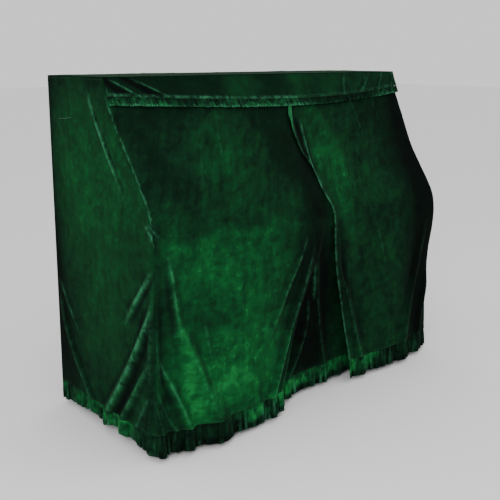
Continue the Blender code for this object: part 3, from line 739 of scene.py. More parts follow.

# %% [markdown]
# ## Crushed velvet
# Velvet has no gloss of its own: light scatters in the pile, and only the sheen at grazing
# angles and the lay of the pile tell you how it folds. The colour runs from nearly black to
# bright green with the painted lay and painted light and shade, with fine streaks down the cloth
# and crushed mottling, and turns pale in painted highlights along the crests. All of it is numbers
# on the cloth's own UV map, which is laid out in metres, so the pile keeps its size on every piece.

# %% Colours and grains of the velvet
DARK, LOW, MIDDLE, HIGH, BRIGHT = ((0.0016, 0.0026, 0.0022), (0.0024, 0.0125, 0.0060),
                                   (0.0036, 0.0370, 0.0114), (0.0060, 0.0740, 0.0180),
                                   (0.0135, 0.1400, 0.0320))
# The colour of the painted highlights along crests, edges and seams.
HIGHLIGHT_COLOUR = (0.028, 0.165, 0.078, 1)
SHEEN = {"Sheen Weight": 0.02, "Sheen Roughness": 0.35, "Sheen Tint": (0.45, 1.0, 0.62, 1),
         "Specular IOR Level": 0.03}
FRONT_LINE, SIDE_LINE = 0.0056, 0.0125    # half widths of the painted highlight along a crest

# How many of each mark lie in a metre, how they look, how strongly they change the lightness, and
# how far they stand out.
Grain = namedtuple("Grain", "across down detail rough swirl mark relief")
GRAINS = {
    "blotch": Grain(11, 9, 2.0, 0.5, 0.3, 0.85, 0.0),
    "streak": Grain(48, 5, 3.0, 0.5, 0.0, 0.60, 0.12),
    "crush": Grain(27, 25, 4.0, 0.54, 0.35, 1.35, 0.5),
    "stroke": Grain(18, 62, 3.0, 0.55, 0.3, 0.40, 0.0),
    "fleck": Grain(72, 62, 2.0, 0.5, 0.3, 0.30, 0.25),
    "pile": Grain(1400, 900, 1.0, 0.5, 0.0, 0.0, 0.12),
}
FLECK_FROM, FLECK_IN, FLECK_LIGHT = 0.60, 0.44, 36.0     # flecks shine where both noises are high
MARKS_IN_DARK, MARKS_IN_LIGHT = 0.08, 0.85               # marks show more in light pile
HIGHLIGHT_SHARE = 0.85        # how much of the highlight colour a painted highlight shows at most
BUMP, BUMP_DEPTH = 0.35, 0.0025                          # strength, and depth in metres
ROUGH, ROUGH_OPENED, ROUGH_LEAST = 0.92, 0.25, 0.5       # plain pile, what a painted highlight takes off, and least
print("grains of the velvet:", list(GRAINS))

# %% Pale lines along the crests
LINE_RISES = 0.7          # a line comes up within this share of its fold's own rise
CRUSH_MIDDLE, CRUSH_BREAKS = 0.45, 3.2                   # crushed pile and flecks break a line up
FLECK_MIDDLE, FLECK_BREAKS = 0.5, 2.0
LINE_SHOWN, LINE_LEAST = 0.42, 0.10                      # what is left on average, and at least


def grain_noise(tree, cloth, grain):
    """Noise from 0 to 1 on the cloth's own map, stretched by a row of sizes."""
    stretched = tree.add("ShaderNodeMapping", {}, {"Vector": cloth, "Scale": (grain.across, grain.down, 1)})
    return tree.add("ShaderNodeTexNoise", {},
                    {"Vector": stretched.out("Vector"), "Scale": 1.0, "Detail": grain.detail,
                     "Roughness": grain.rough, "Distortion": grain.swirl}).out("Fac")


def smooth_share(tree, value, low, high, start=0.0, end=1.0):
    """A value's smooth step from start to end between low and high."""
    return tree.add("ShaderNodeMapRange", {"interpolation_type": "SMOOTHSTEP"},
                    {"Value": value, "From Min": low, "From Max": high,
                     "To Min": start, "To Max": end}).out("Result")


def crest_highlight_line(tree, fold, at, drop, line_half):
    """The painted highlight along one fold's crest, from the fold's own row."""
    share = tree.add("ShaderNodeMapRange", {}, {"Value": drop, "From Min": fold.top,
                                                "From Max": fold.bottom}).out("Result")
    centre = share ** fold.bow * (fold.at_bottom - fold.at_top) + fold.at_top
    away = (at - centre) * (1 / line_half)
    line = (away * away + 1.0) ** -2.0
    line = line * smooth_share(tree, share, 0.0, FOLD_RISES * LINE_RISES) * fold.glint
    if fold.dies:
        line = line * smooth_share(tree, share, FOLD_DIES_FROM, 1.0, 1.0, 0.0)
    return line


def paint_crest_highlights(tree, highlight, word, folds, line_half):
    """Paint a highlight along the crest of each fold; word is the attribute that places the folds."""
    shining = [fold for fold in folds if fold.glint > 0 and fold.out > 0]
    if shining:
        at, drop = tree.attribute(word), tree.attribute("drop")
    for fold in shining:
        highlight = highlight.at_least(crest_highlight_line(tree, fold, at, drop, line_half))
    return highlight


print(f"pale lines are {2000 * FRONT_LINE:.0f} mm wide in front and {2000 * SIDE_LINE:.0f} mm on the sides")

# %% Velvet
def velvet(name, streaks, mottling, run_folds=(), x_folds=(), line_half=FRONT_LINE):
    """Deep green velvet. streaks and mottling say how strongly each shows."""
    material, tree, shader = new_material(name)
    cloth = tree.add("ShaderNodeUVMap", {"uv_map": "cloth"}).out("UV")
    noise = {word: grain_noise(tree, cloth, grain) for word, grain in GRAINS.items()}

    def mark(word, strength=1.0):
        return (noise[word] - 0.5) * (GRAINS[word].mark * strength)

    def relief(word, strength=1.0):
        return noise[word] * (GRAINS[word].relief * strength)

    lay, crush, fleck = tree.attribute("lay"), noise["crush"], noise["fleck"]
    flecks = (fleck - FLECK_FROM).at_least(0.0) * (crush - FLECK_IN).at_least(0.0) * lay * FLECK_LIGHT
    crushed = (mark("blotch") + mark("crush") + mark("fleck") + flecks) * mottling
    marks = mark("streak", streaks) + mark("stroke", mottling) + crushed
    light = lay + marks * (MARKS_IN_DARK + lay * MARKS_IN_LIGHT)
    stops = tuple(zip((0.0, 0.25, 0.5, 0.75, 1.0), (DARK, LOW, MIDDLE, HIGH, BRIGHT)))
    body = tree.add("ShaderNodeValToRGB", {"stops": stops}, {"Fac": light}).out("Color")

    # Painted highlights: the stored highlight attribute, and a line along each fold's crest.
    highlight = paint_crest_highlights(tree, tree.attribute("crest"), "run", run_folds, line_half)
    highlight = paint_crest_highlights(tree, highlight, "x", x_folds, line_half)
    broken = (crush - CRUSH_MIDDLE) * CRUSH_BREAKS + (fleck - FLECK_MIDDLE) * FLECK_BREAKS + LINE_SHOWN
    highlight = highlight * broken.at_least(LINE_LEAST).at_most(1.0) * HIGHLIGHT_SHARE
    height = relief("crush", mottling) + relief("fleck") + relief("pile") + relief("streak")
    tree.feed(shader, {"Base Color": tree.mix_colour(highlight, body, HIGHLIGHT_COLOUR),
                       "Roughness": (ROUGH - ROUGH_OPENED * highlight).at_least(ROUGH_LEAST),
                       "Normal": tree.bump(height, BUMP, BUMP_DEPTH), **SHEEN})
    print("material", name, "with", len(material.node_tree.nodes), "nodes")
    return material


PLAIN_VELVET = velvet("crushed_velvet", streaks=0.5, mottling=0.8)
FRILL_VELVET = velvet("frill_velvet", streaks=0.3, mottling=0.8)
SIDE_VELVET, FRONT_VELVET = {}, {}
for hand, word in WORDS.items():
    on_side = [fold for fold in RUN_FOLDS[hand] if min(fold.at_top, fold.at_bottom) < 0]
    on_front = [fold for fold in RUN_FOLDS[hand] if max(fold.at_top, fold.at_bottom) > 0]
    SIDE_VELVET[hand] = velvet(f"side_velvet_{word}", streaks=0.6, mottling=0.7,
                               run_folds=on_side, line_half=SIDE_LINE)
    FRONT_VELVET[hand] = velvet(f"front_velvet_{word}", streaks=0.7, mottling=0.9,
                                run_folds=on_front, x_folds=X_FOLDS[hand])

# %% [markdown]
# ## Thread
# The seams are sewn with a green thread that is a little paler than the pile it sinks into. Its
# twist is a wave pattern, which is enough at this size.

# %% Thread
TWISTS, TWIST_WOBBLE = 900.0, 2.0                        # bands of the twist, and how far they waver
THREAD_ROUGH, THREAD_BUMP, THREAD_BUMP_DEPTH = 0.6, 0.4, 0.0003


def thread_finish(name, dark, light):
    material, tree, shader = new_material(name)
    where = tree.add("ShaderNodeTexCoord").out("Object")
    twist = tree.add("ShaderNodeTexWave", {"bands_direction": "DIAGONAL"},
                     {"Vector": where, "Scale": TWISTS, "Distortion": TWIST_WOBBLE}).out("Fac")
    tree.feed(shader, {"Base Color": tree.mix_colour(twist, (*dark, 1), (*light, 1)),
                       "Roughness": THREAD_ROUGH,
                       "Normal": tree.bump(twist, THREAD_BUMP, THREAD_BUMP_DEPTH)})
    return material


THREAD = thread_finish("sewing_thread", (0.002, 0.020, 0.008), (0.005, 0.050, 0.020))
PALE_THREAD = thread_finish("mending_thread", (0.030, 0.080, 0.048), (0.070, 0.160, 0.105))
print("threads:", THREAD.name, PALE_THREAD.name)

# %% [markdown]
# ## Sheets of cloth
# A piece of cloth is a grid of points with a second layer behind it and a rim that joins them.
# The grid gets extra lines near its edges, where the two layers draw together, so that an edge
# looks turned and soft and a seam shows as a shallow groove. A Solidify modifier would add the
# second layer too, but it would leave every edge square.

# %% Grids
EDGE_LINES = (0.0, 0.0006, 0.0016, 0.0040)           # a grid's first lines, from its edge inwards
EDGE_ROUND = EDGE_LINES[2]                           # the edge is rounded over this width
EDGE_THIN = 0.30          # share of the thickness that is left at the very edge


def lines(low, high, spacing):
    """Places from low to high, with extra ones near both ends."""
    ends = np.array(EDGE_LINES)
    count = max(2, round((high - low - 2 * ends[-1]) / spacing))
    middle = np.linspace(low + ends[-1], high - ends[-1], count + 1)[1:-1]
    return np.concatenate([low + ends, middle, high - ends[::-1]])


def edge_share(rows, columns):
    """How much of the cloth's thickness is left near the edges of a grid."""
    def share(count):
        from_edge = np.minimum(np.arange(count), np.arange(count)[::-1])
        reach = np.array(EDGE_LINES)[np.minimum(from_edge, len(EDGE_LINES) - 1)] / EDGE_ROUND
        rounded = np.sqrt(np.clip(1 - (1 - np.minimum(reach, 1)) ** 2, 0, 1))
        return EDGE_THIN + (1 - EDGE_THIN) * rounded
    return np.minimum.outer(share(rows), share(columns))


def grid_quads(rows, columns, flip):
    corner = np.arange(rows * columns).reshape(rows, columns)
    round_it = corner[:-1, :-1], corner[1:, :-1], corner[1:, 1:], corner[:-1, 1:]
    quads = np.stack(round_it, -1).reshape(-1, 4)
    return quads[:, ::-1] if flip else quads


def border(rows, columns):
    """The grid's border, in order round it: down, right, up and back."""
    corner = np.arange(rows * columns).reshape(rows, columns)
    return np.concatenate([corner[:-1, 0], corner[-1, :-1], corner[:0:-1, -1], corner[0, :0:-1]])


print("lines across 0.1 m:", len(lines(0.0, 0.1, 0.01)))
print("shares of the thickness across a narrow sheet:", edge_share(9, 9)[4].round(2))

# %% Objects and their cut
# Where each kind of sheet starts on the pattern, in metres, so that no two show the same part.
SIDE_CLOTH, FRONT_CLOTH, TOP_CLOTH, BACK_CLOTH, VALANCE_CLOTH = 3, 6, 9, 12, 15


def new_object(name, points, quads=(), edges=(), uv=None, values=None):
    """An object in the scene, with its cloth map in metres and its named values as attributes."""
    mesh = bpy.data.meshes.new(name)
    mesh.from_pydata(points.reshape(-1, 3).tolist(), edges, np.asarray(quads).tolist())
    if uv is not None:
        at_corners = uv.reshape(-1, 2)[quads.ravel()].astype(np.float32)
        mesh.uv_layers.new(name="cloth").data.foreach_set("uv", at_corners.ravel())
    for word, value in (values or {}).items():
        single = value.size == len(mesh.vertices)
        kind, field = ("FLOAT", "value") if single else ("FLOAT_VECTOR", "vector")
        mesh.attributes.new(word, kind, "POINT").data.foreach_set(field, value.astype(np.float32).ravel())
    thing = bpy.data.objects.new(name, mesh)
    bpy.context.scene.collection.objects.link(thing)
    return thing


def cut_size(grid):
    """Greatest width and length of a sheet's grid, and its area, all measured on the cloth."""
    across = np.linalg.norm(np.diff(grid, axis=1), axis=2).sum(1)
    down = np.linalg.norm(np.diff(grid, axis=0), axis=2).sum(0)
    one = np.cross(grid[1:, :-1] - grid[:-1, :-1], grid[:-1, 1:] - grid[:-1, :-1])
    two = np.cross(grid[1:, :-1] - grid[1:, 1:], grid[:-1, 1:] - grid[1:, 1:])
    area = (np.linalg.norm(one, axis=2).sum() + np.linalg.norm(two, axis=2).sum()) / 2
    return across.max(), down.max(), min(area, across.max() * down.max())


one_metre = np.array([[(0, 0, 0), (1, 0, 0)], [(0, 1, 0), (1, 1, 0)]], float)
print("a sheet of 1 x 1 m measures", [float(size) for size in cut_size(one_metre)])

# %% Sheets
def sheet(name, points, facing, uv, values, material, flip=False, lowest=None):
    """A closed sheet whose outer face runs through a grid of points, and its cut size."""
    rows, columns = points.shape[:2]
    facing = np.broadcast_to(facing, points.shape)
    sink = facing * ((1 - edge_share(rows, columns)) * CLOTH / 2)[..., None]
    outer, inner = points - sink, points - facing * CLOTH + sink
    if lowest is not None:
        inner[..., 2] = np.maximum(inner[..., 2], lowest)
    count = rows * columns
    rim = border(rows, columns)
    after = np.roll(rim, -1)
    sides = np.stack([rim, rim + count, after + count, after], -1)
    quads = np.concatenate([grid_quads(rows, columns, flip), grid_quads(rows, columns, not flip) + count,
                            sides[:, ::-1] if flip else sides])
    both = {word: np.stack([value, value]) for word, value in values.items()}
    thing = new_object(name, np.stack([outer, inner]), quads, uv=np.stack([uv, uv]), values=both)
    thing.data.shade_smooth()
    thing.data.materials.append(material)
    thing.data.validate()
    return thing, cut_size(points)


print(f"the cloth is {1000 * CLOTH:.1f} mm thick, and {1000 * CLOTH * EDGE_THIN:.2f} mm at an edge")

# %% [markdown]
# ## Putting the pieces in place
# Each piece takes the place of one node of the packed model and rides on its body. A sheet also
# measures how large its cloth is when it lies flat.

# %% Putting the pieces in place
made = []


def declare(piece, node):
    """Hang a cloth piece on the root body in place of the node it stands for, hide that node and keep the
    piece.
    """
    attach(piece, "root")
    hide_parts(node)
    made.append(piece)


print("pieces so far:", len(made))

# %% [markdown]
# ## Skirt panels
# Sides and fronts are the same job: a strip of the wall between two runs. The side ends at the
# back panel, both meet at the corner seam, and the fronts end at the opening, where the left one
# runs on beneath the right one.

# %% Skirt panels
GRID = 0.0068             # spacing of the grid's lines
LAP = 0.090               # how far the left front runs on under the right front
GRAIN_SLANT = 0.6         # on the slope the crushed marks lean by this much per metre of drop
SLOPE_TOP, SLOPE_END = 0.06, 0.45


def middle_end(hand, drop):
    """The run at which a front panel ends."""
    return half_width(drop) + (free_edge(drop) + LAP if hand == LEFT else -free_edge(drop))


def cloth_uv(hand, run, drop, y, is_side):
    """The cloth's own coordinates in metres: a side's grain hangs straight, a front's leans."""
    if is_side:
        return np.stack([y + SIDE_CLOTH + hand, -drop], -1)
    leaned = hand * GRAIN_SLANT * np.clip(drop, SLOPE_TOP, SLOPE_END)
    return np.stack([run - leaned + FRONT_CLOTH, -drop], -1)


def skirt_panel(name, hand, start, end, material, is_side):
    """A panel between two runs; start and end are functions of the drop."""
    drops = lines(SEAM, SKIRT_DROP, GRID)
    width = float(np.max(end(drops) - start(drops)))
    shares = lines(0.0, width, GRID) / width
    drop = np.repeat(drops[:, None], len(shares), 1)
    run = start(drop) + (end(drop) - start(drop)) * shares[None, :]
    points, facing = wall_grid(hand, run, drop)
    values = {"lay": pile_lay_and_light(hand, run, drop), "crest": seam_and_edge_highlight(hand, run, drop),
              "run": run, "drop": drop, "x": panel_x(hand, run, drop)}
    uv = cloth_uv(hand, run, drop, points[..., 1], is_side)
    return sheet(name, points, facing, uv, values, material, flip=hand == RIGHT)


for hand, word in WORDS.items():
    side, side_size = skirt_panel(f"side_cloth_{word}", hand, lambda drop: side_start(hand, drop),
                                  lambda drop: 0 * drop - SEAM / 2, SIDE_VELVET[hand], True)
    declare(side, f"side_panel_{word}")
    front, front_size = skirt_panel(f"front_cloth_{word}", hand, lambda drop: 0 * drop + SEAM / 2,
                                    lambda drop: middle_end(hand, drop), FRONT_VELVET[hand], False)
    declare(front, f"front_panel_{word}")

# %% [markdown]
# ## Top panel
# The top panel lies on the lid. It isn't quite flat: it keeps the soft marks of having been
# folded in a packet, and a few low hills. A plain box would look like a board.

# %% Top panel
TOP_HILLS = (Hills(0.0011, 0.16, 0.08, 61), Hills(0.0005, 0.04, 0.03, 62))
TOP_SHADES = (Hills(0.10, 0.20, 0.12, 63),)
TOP_RISE = 0.0012         # keeps the hills above the lid
TOP_GRID = 0.010
TOP_CALM = 0.05           # the hills and the marks fade out over this width at the edges
PACKET_FOLDS = (-0.38, 0.0, 0.38)                    # where the packet's marks run
PACKET_HEIGHT, PACKET_HALF = 0.0012, 0.006
PACKET_SHINE, PACKET_LINE = 0.25, 0.004              # painted highlight along a mark, and its half width
# Painted shade: the top panel is set darker than the sides.
TOP_LAY_AND_SHADE = 0.26
HILLS_FROM = 3            # where the top, the valance and the frills read the soft hills


def top_cloth():
    x, y = np.meshgrid(lines(-SIDE_EDGE, SIDE_EDGE, TOP_GRID), lines(FRONT_EDGE, BACK_EDGE, TOP_GRID))
    place = x + HILLS_FROM, y + HILLS_FROM
    calm = ramp(0, TOP_CALM, np.minimum(SIDE_EDGE - np.abs(x), BACK_EDGE - np.abs(y)))
    packed = PACKET_HEIGHT * sum(bell(x - at, PACKET_HALF) for at in PACKET_FOLDS)
    z = CLOTH + (soft_noise(TOP_HILLS, *place) + TOP_RISE + packed) * calm
    points = np.stack([x, y, z], -1)[::-1]
    lay = TOP_LAY_AND_SHADE + soft_noise(TOP_SHADES, *place)[::-1]
    crest = PACKET_SHINE * sum(bell(x - at, PACKET_LINE) for at in PACKET_FOLDS) * calm
    uv = points[..., :2] + (TOP_CLOTH, 0)
    return sheet("top_cloth", points, (0, 0, 1), uv, {"lay": lay, "crest": crest}, PLAIN_VELVET, lowest=0.0)


top, top_size = top_cloth()
declare(top, "top_panel")

# %% [markdown]
# ## Back panel
# The back hangs plain behind the piano, from the top seam to a turned hem. Nothing pulls at it,
# so it needs no folds, only a few slow waves that grow downwards, with painted light and shade on them.

# %% Back panel
BACK_WAVES = (Hills(0.40, 0.10, 0.60, 71), Hills(0.15, 0.05, 0.20, 72))
BACK_SHADES = (Hills(0.10, 0.25, 0.40, 73),)
BACK_WAVE = 0.0042        # greatest rise of the waves
BACK_CLEAR = 0.0005       # between the back and the sides' edges
BACK_GRID = 0.013
BACK_CALM, BACK_GROWS = 0.06, 0.5                    # the waves fade at the edges and grow over a drop
HEM_THICK, HEM_DEPTH = 0.0012, 0.020                 # what the turned hem adds, and its depth
BACK_LAY, BACK_LIT = 0.30, 0.16                      # its lightness, and the painted light and shade that the waves add
LIGHT_SHIFT = 0.04        # a wave gets painted light on one side, found by comparing it this far away
BACK_HILLS_FROM = 5       # where the back reads the soft hills


def back_wave(x, drop):
    """The back's waves, from 0 to 1."""
    return np.clip(0.5 + soft_noise(BACK_WAVES, x + BACK_HILLS_FROM, drop), 0, 1)


def back_y(x, drop):
    inside = ramp(0, BACK_CALM, np.minimum(half_width(drop) - np.abs(x), drop))
    hem = HEM_THICK * (1 - ramp(HEM_DEPTH - 0.002, HEM_DEPTH + 0.002, HEM_DROP - drop))
    wave = BACK_WAVE * back_wave(x, drop) * inside * ramp(0, BACK_GROWS, drop)
    return BACK_EDGE + BACK_CLEAR + wave + hem


def back_cloth():
    share, drop = np.meshgrid(lines(0, TOP_WIDTH, BACK_GRID) / TOP_WIDTH, lines(SEAM, HEM_DROP, BACK_GRID))
    x = (1 - 2 * share) * half_width(drop)
    points = np.stack([x, back_y(x, drop), -drop], -1)
    # Painted light and shade: each wave is lighter on one side of its slope and darker on the other.
    slope = back_wave(x, drop) - back_wave(x - LIGHT_SHIFT, drop) + 0.5
    lay = BACK_LAY + soft_noise(BACK_SHADES, x + BACK_HILLS_FROM, drop)
    lay = lay + BACK_LIT * slope * ramp(0, BACK_GROWS, drop)
    uv = np.stack([x + BACK_CLOTH, -drop], -1)
    return sheet("back_cloth", points, (0, 1, 0), uv, {"lay": lay, "crest": 0 * lay}, PLAIN_VELVET)


back, back_size = back_cloth()
declare(back, "back_panel")

# %% [markdown]
# ## The valance
# A band of cloth crosses the front under the top's edge. It sags a little in the middle, is
# dragged in slanting lines at its left end and pinched in small upright ones at its right end,
# and its lower edge is a round casing where the narrow frill is gathered on. The lines are rows
# of folds again, because random noise would make the band look crumpled and not pulled.

# %% Tables of the valance
# A row's glint is a painted highlight on its crest, and for end_shade and drag_shade painted shade in the
# hollow.
VALANCE_FOLDS = (
    Fold("outer_drag", 0.000, -0.750, 0.075, -0.615, 1.0, 0.014, 0.022, 0.0050, False, 0.6),
    Fold("inner_drag", 0.000, -0.665, 0.080, -0.490, 1.0, 0.014, 0.022, 0.0045, False, 0.55),
    Fold("right_drag", 0.000, 0.560, 0.080, 0.515, 1.0, 0.016, 0.022, 0.0040, False, 0.2),
    Fold("end_shade", -0.030, -0.790, 0.075, -0.680, 1.0, 0.030, 0.034, -0.0010, False, 1.0),
    Fold("drag_shade", -0.030, -0.745, 0.075, -0.550, 1.0, 0.024, 0.030, -0.0020, False, 1.0),
    Fold("first_pinch", -0.010, 0.425, 0.100, 0.385, 0.7, 0.010, 0.016, 0.0028, False, 0.25),
    Fold("second_pinch", -0.010, 0.590, 0.090, 0.480, 1.3, 0.012, 0.022, 0.0038, False, 0.35),
    Fold("third_pinch", -0.010, 0.690, 0.085, 0.615, 0.8, 0.010, 0.018, 0.0032, False, 0.35),
    Fold("last_pinch", -0.010, 0.756, 0.080, 0.705, 1.2, 0.008, 0.014, 0.0026, False, 0.3),
)

# Painted light and shade along the band in X, and painted highlights on its casing and its frill.
Glow = namedtuple("Glow", "x light")
VALANCE_LAY_AND_LIGHT = (Glow(-0.76, 0.25), Glow(-0.45, 0.23), Glow(-0.30, 0.27), Glow(-0.22, 0.40), Glow(-0.14, 0.34),
               Glow(-0.06, 0.21), Glow(0.03, 0.22), Glow(0.12, 0.39), Glow(0.22, 0.37), Glow(0.50, 0.33),
               Glow(0.76, 0.31))
CASING_GLOW = (Glow(-0.76, 0.7), Glow(-0.55, 0.8), Glow(-0.42, 0.6), Glow(-0.31, 1.2), Glow(-0.2, 0.7),
               Glow(0.05, 1.2), Glow(0.14, 0.4), Glow(0.30, 0.25), Glow(0.76, 0.25))
FRILL_GLOW = (Glow(-0.76, 1.0), Glow(-0.56, 1.3), Glow(-0.50, 0.6), Glow(-0.44, 0.3), Glow(-0.36, 0.9),
              Glow(-0.20, 1.2), Glow(-0.06, 1.2), Glow(0.03, 1.5), Glow(0.08, 1.8), Glow(0.13, 0.9),
              Glow(0.22, 0.35), Glow(0.45, 0.12),
              Glow(0.57, 0.2), Glow(0.62, 1.1), Glow(0.71, 1.1), Glow(0.76, 0.3))
print("valance:", len(VALANCE_FOLDS), "drags and pinches")

# %% Valance
VALANCE_STAND = 0.0090    # how far the band stands off the front's plain surface
BAND_END, BAND_SAG, BAND_SKEW = 0.060, 0.033, 0.36   # its depth at the ends, and its sag
VALANCE_GRID, VALANCE_ROWS, VALANCE_DEPTH = 0.005, 0.0045, 0.08   # steps along and down, and depth
VALANCE_LINE = 0.0085     # half width of the painted highlight along a drag or a pinch
CASING_UP, CASING_HALF, CASING_OUT = 0.006, 0.0045, 0.0022   # above the seam, half width, height
END_SHINE, END_LINE = 0.5, 0.004                     # the painted highlight down the band's left end
END_FROM, END_TO = 0.02, 0.05                        # the drops over which that line comes up
VALANCE_CALM = 0.02                                  # the wave comes up over this drop
VALANCE_WAVES = (Hills(0.0007, 0.05, 0.05, 81),)
VALANCE_SHADES = (Hills(0.06, 0.10, 0.05, 82),)
CASING_BEADS = (Hills(0.8, 0.011, 0.010, 83),)       # the painted highlight on the casing breaks into beads
BEAD_SHINE, LEAST_SHINE = 0.75, 0.1                  # how strong that highlight is, on average and at least
VALANCE_VELVET = velvet("valance_velvet", streaks=0.2, mottling=0.5,
                        x_folds=VALANCE_FOLDS, line_half=VALANCE_LINE)


def band_drop(x):
    """Drop of the band's lower seam."""
    across = x / SIDE_EDGE
    return BAND_END + BAND_SAG * (1 - across ** 2) * (1 + BAND_SKEW * across)


def casing(x, drop):
    return bell(drop - band_drop(x) + CASING_UP, CASING_HALF)


def valance_y(x, drop):
    drags = sum(fold_height(fold, x, drop) for fold in VALANCE_FOLDS)
    wave = soft_noise(VALANCE_WAVES, x + HILLS_FROM, drop) * ramp(0, VALANCE_CALM, drop)
    return front_line(x, drop) - VALANCE_STAND - drags - CASING_OUT * casing(x, drop) - wave


def valance_cloth():
    shares = lines(0.0, VALANCE_DEPTH, VALANCE_ROWS) / VALANCE_DEPTH
    x, share = np.meshgrid(lines(-SIDE_EDGE, SIDE_EDGE, VALANCE_GRID), shares)
    drop = SEAM + (band_drop(x) - SEAM) * share
    points = np.stack([x, valance_y(x, drop), -drop], -1)
    lay = read_rows(VALANCE_LAY_AND_LIGHT, x, "light") + soft_noise(VALANCE_SHADES, x + HILLS_FROM, drop)
    lay = lay + sum(fold_light_and_shade(fold, x, drop, -1) for fold in VALANCE_FOLDS)
    highlight_beads = np.maximum(BEAD_SHINE + soft_noise(CASING_BEADS, x + HILLS_FROM, drop), LEAST_SHINE)
    crest = read_rows(CASING_GLOW, x, "light") * casing(x, drop) * highlight_beads
    end = END_SHINE * bell(x + SIDE_EDGE, END_LINE) * ramp(END_FROM, END_TO, drop)
    values = {"lay": np.clip(lay, DARKEST, 1), "crest": np.maximum(crest, end), "x": x, "drop": drop}
    uv = np.stack([x + VALANCE_CLOTH, -drop], -1)
    return sheet("valance_cloth", points, (0, -1, 0), uv, values, VALANCE_VELVET)


valance, valance_size = valance_cloth()
declare(valance, "valance")

# %% [markdown]
# ## Groups of nodes
# Gathers and stitches repeat by rule, so Geometry Nodes make them. Both trees take a mesh, a few
# named sizes and a material, and both end by making everything real, because only a plain mesh
# leaves this file.

# %% Groups of nodes
def new_group(name, sizes):
    """A Geometry Nodes group with a named input for each size: the group, its tree and its inputs."""
    group = bpy.data.node_groups.new(name, "GeometryNodeTree")
    face = group.interface
    face.new_socket("Geometry", in_out="INPUT", socket_type="NodeSocketGeometry")
    for size, start in sizes.items():
        face.new_socket(size, in_out="INPUT", socket_type="NodeSocketFloat").default_value = start
    face.new_socket("Material", in_out="INPUT", socket_type="NodeSocketMaterial")
    face.new_socket("Geometry", in_out="OUTPUT", socket_type="NodeSocketGeometry")
    tree = Tree(group)
    return group, tree, tree.add("NodeGroupInput").out


def close_group(group, tree, geometry, material):
    """Make the result real, give it its material and hand it out."""
    real = tree.add("GeometryNodeRealizeInstances", {}, {"Geometry": geometry}).out("Geometry")
    done = tree.add("GeometryNodeSetMaterial", {}, {"Geometry": real, "Material": material}).out("Geometry")
    tree.add("NodeGroupOutput", {}, {"Geometry": done})
    print(group.name, "has", len(group.nodes), "nodes")
    return group


def socket_id(group, name):
    return next(item.identifier for item in group.interface.items_tree
                if item.item_type == "SOCKET" and item.in_out == "INPUT" and item.name == name)


def apply_tree(thing, group, values, thickness=0.0):
    """Run a node tree on an object, with cloth thickness if asked, and keep the plain mesh."""
    worker = thing.modifiers.new(group.name, "NODES")
    worker.node_group = group
    for name, value in values.items():
        worker[socket_id(group, name)] = value
    if thickness:
        solid = thing.modifiers.new("cloth", "SOLIDIFY")
        solid.thickness, solid.offset = thickness, -1.0
    graph = bpy.context.evaluated_depsgraph_get()
    mesh = bpy.data.meshes.new_from_object(thing.evaluated_get(graph), depsgraph=graph)
    thing.modifiers.clear()
    old, thing.data = thing.data, mesh
    mesh.name = old.name
    bpy.data.meshes.remove(old)
    mesh.shade_smooth()
    return thing


print("groups of nodes can be made")

# %% [markdown]
# ## Gathering
# A frill is a strip nearly half as long again as its seam, gathered onto it. That is a rule, so
# a tree makes it: the input is a smooth strip that knows, for each point, how far along
# the seam it is, how far down, and which way is out. The tree swings it in and out by a sine
# whose pitch and depth a noise keeps uneven, and lets the pleats lean over near the hem. Drawing
# each pleat by hand would take longer and look more regular.

# %% Unevenness of the gathers
# Each slow random value: its length in pitches, and where it starts on the noise.
Drift = namedtuple("Drift", "pitches shift")
DRIFTS = {
    "spacing": Drift(3.0, 0.0), "wander": Drift(1.9, 20.0), "depth": Drift(1.3, 40.0),
    "speck": Drift(0.35, 60.0), "blot": Drift(1.1, 61.0), "hem": Drift(2.1, 80.0),
}
DRIFT_RANGE, SEED_SHIFT = 2.4, 7.3                   # the noise's stretch, and a seed's move along it
WANDER = 4.0              # how far a gather strays from straight on its way down, as an angle
SHALLOW, DEPTH_DRIFT = 0.6, 0.7                      # uneven gathers are shallower, and differ
RIPPLES, RIPPLE_SHIFT, RIPPLE = 2.3, 1.0, 0.8        # small ones at the seam: how many, where, how deep
SPREAD = 1.15             # power by which the swing grows from the seam to the hem
FALL_OVER = -0.5          # pitches that a pleat falls over, for a Lean of 1
HEM_FOLLOWS = 0.35        # how much the hem rises with the swing
BLOT, SPECKED = 0.6, 0.4  # strength of the wider specks, and the least painted highlight on a lit hem
HEM_POWER, HEM_LIGHT = 3.0, 0.8                      # how fast and how far the painted highlight grows to the hem
SEAM_LIGHT, LIT_POWER = 0.2, 5.0                     # painted highlight at the seam, and how narrow a lit hem is
CREST_POWER = 2.5         # how narrow the painted highlight on a gather's crest is
CREST_AT_SEAM, CREST_TO_HEM = 0.10, 0.50             # how strong that highlight is, and how much stronger at the hem
print("random values of the gathers:", list(DRIFTS))

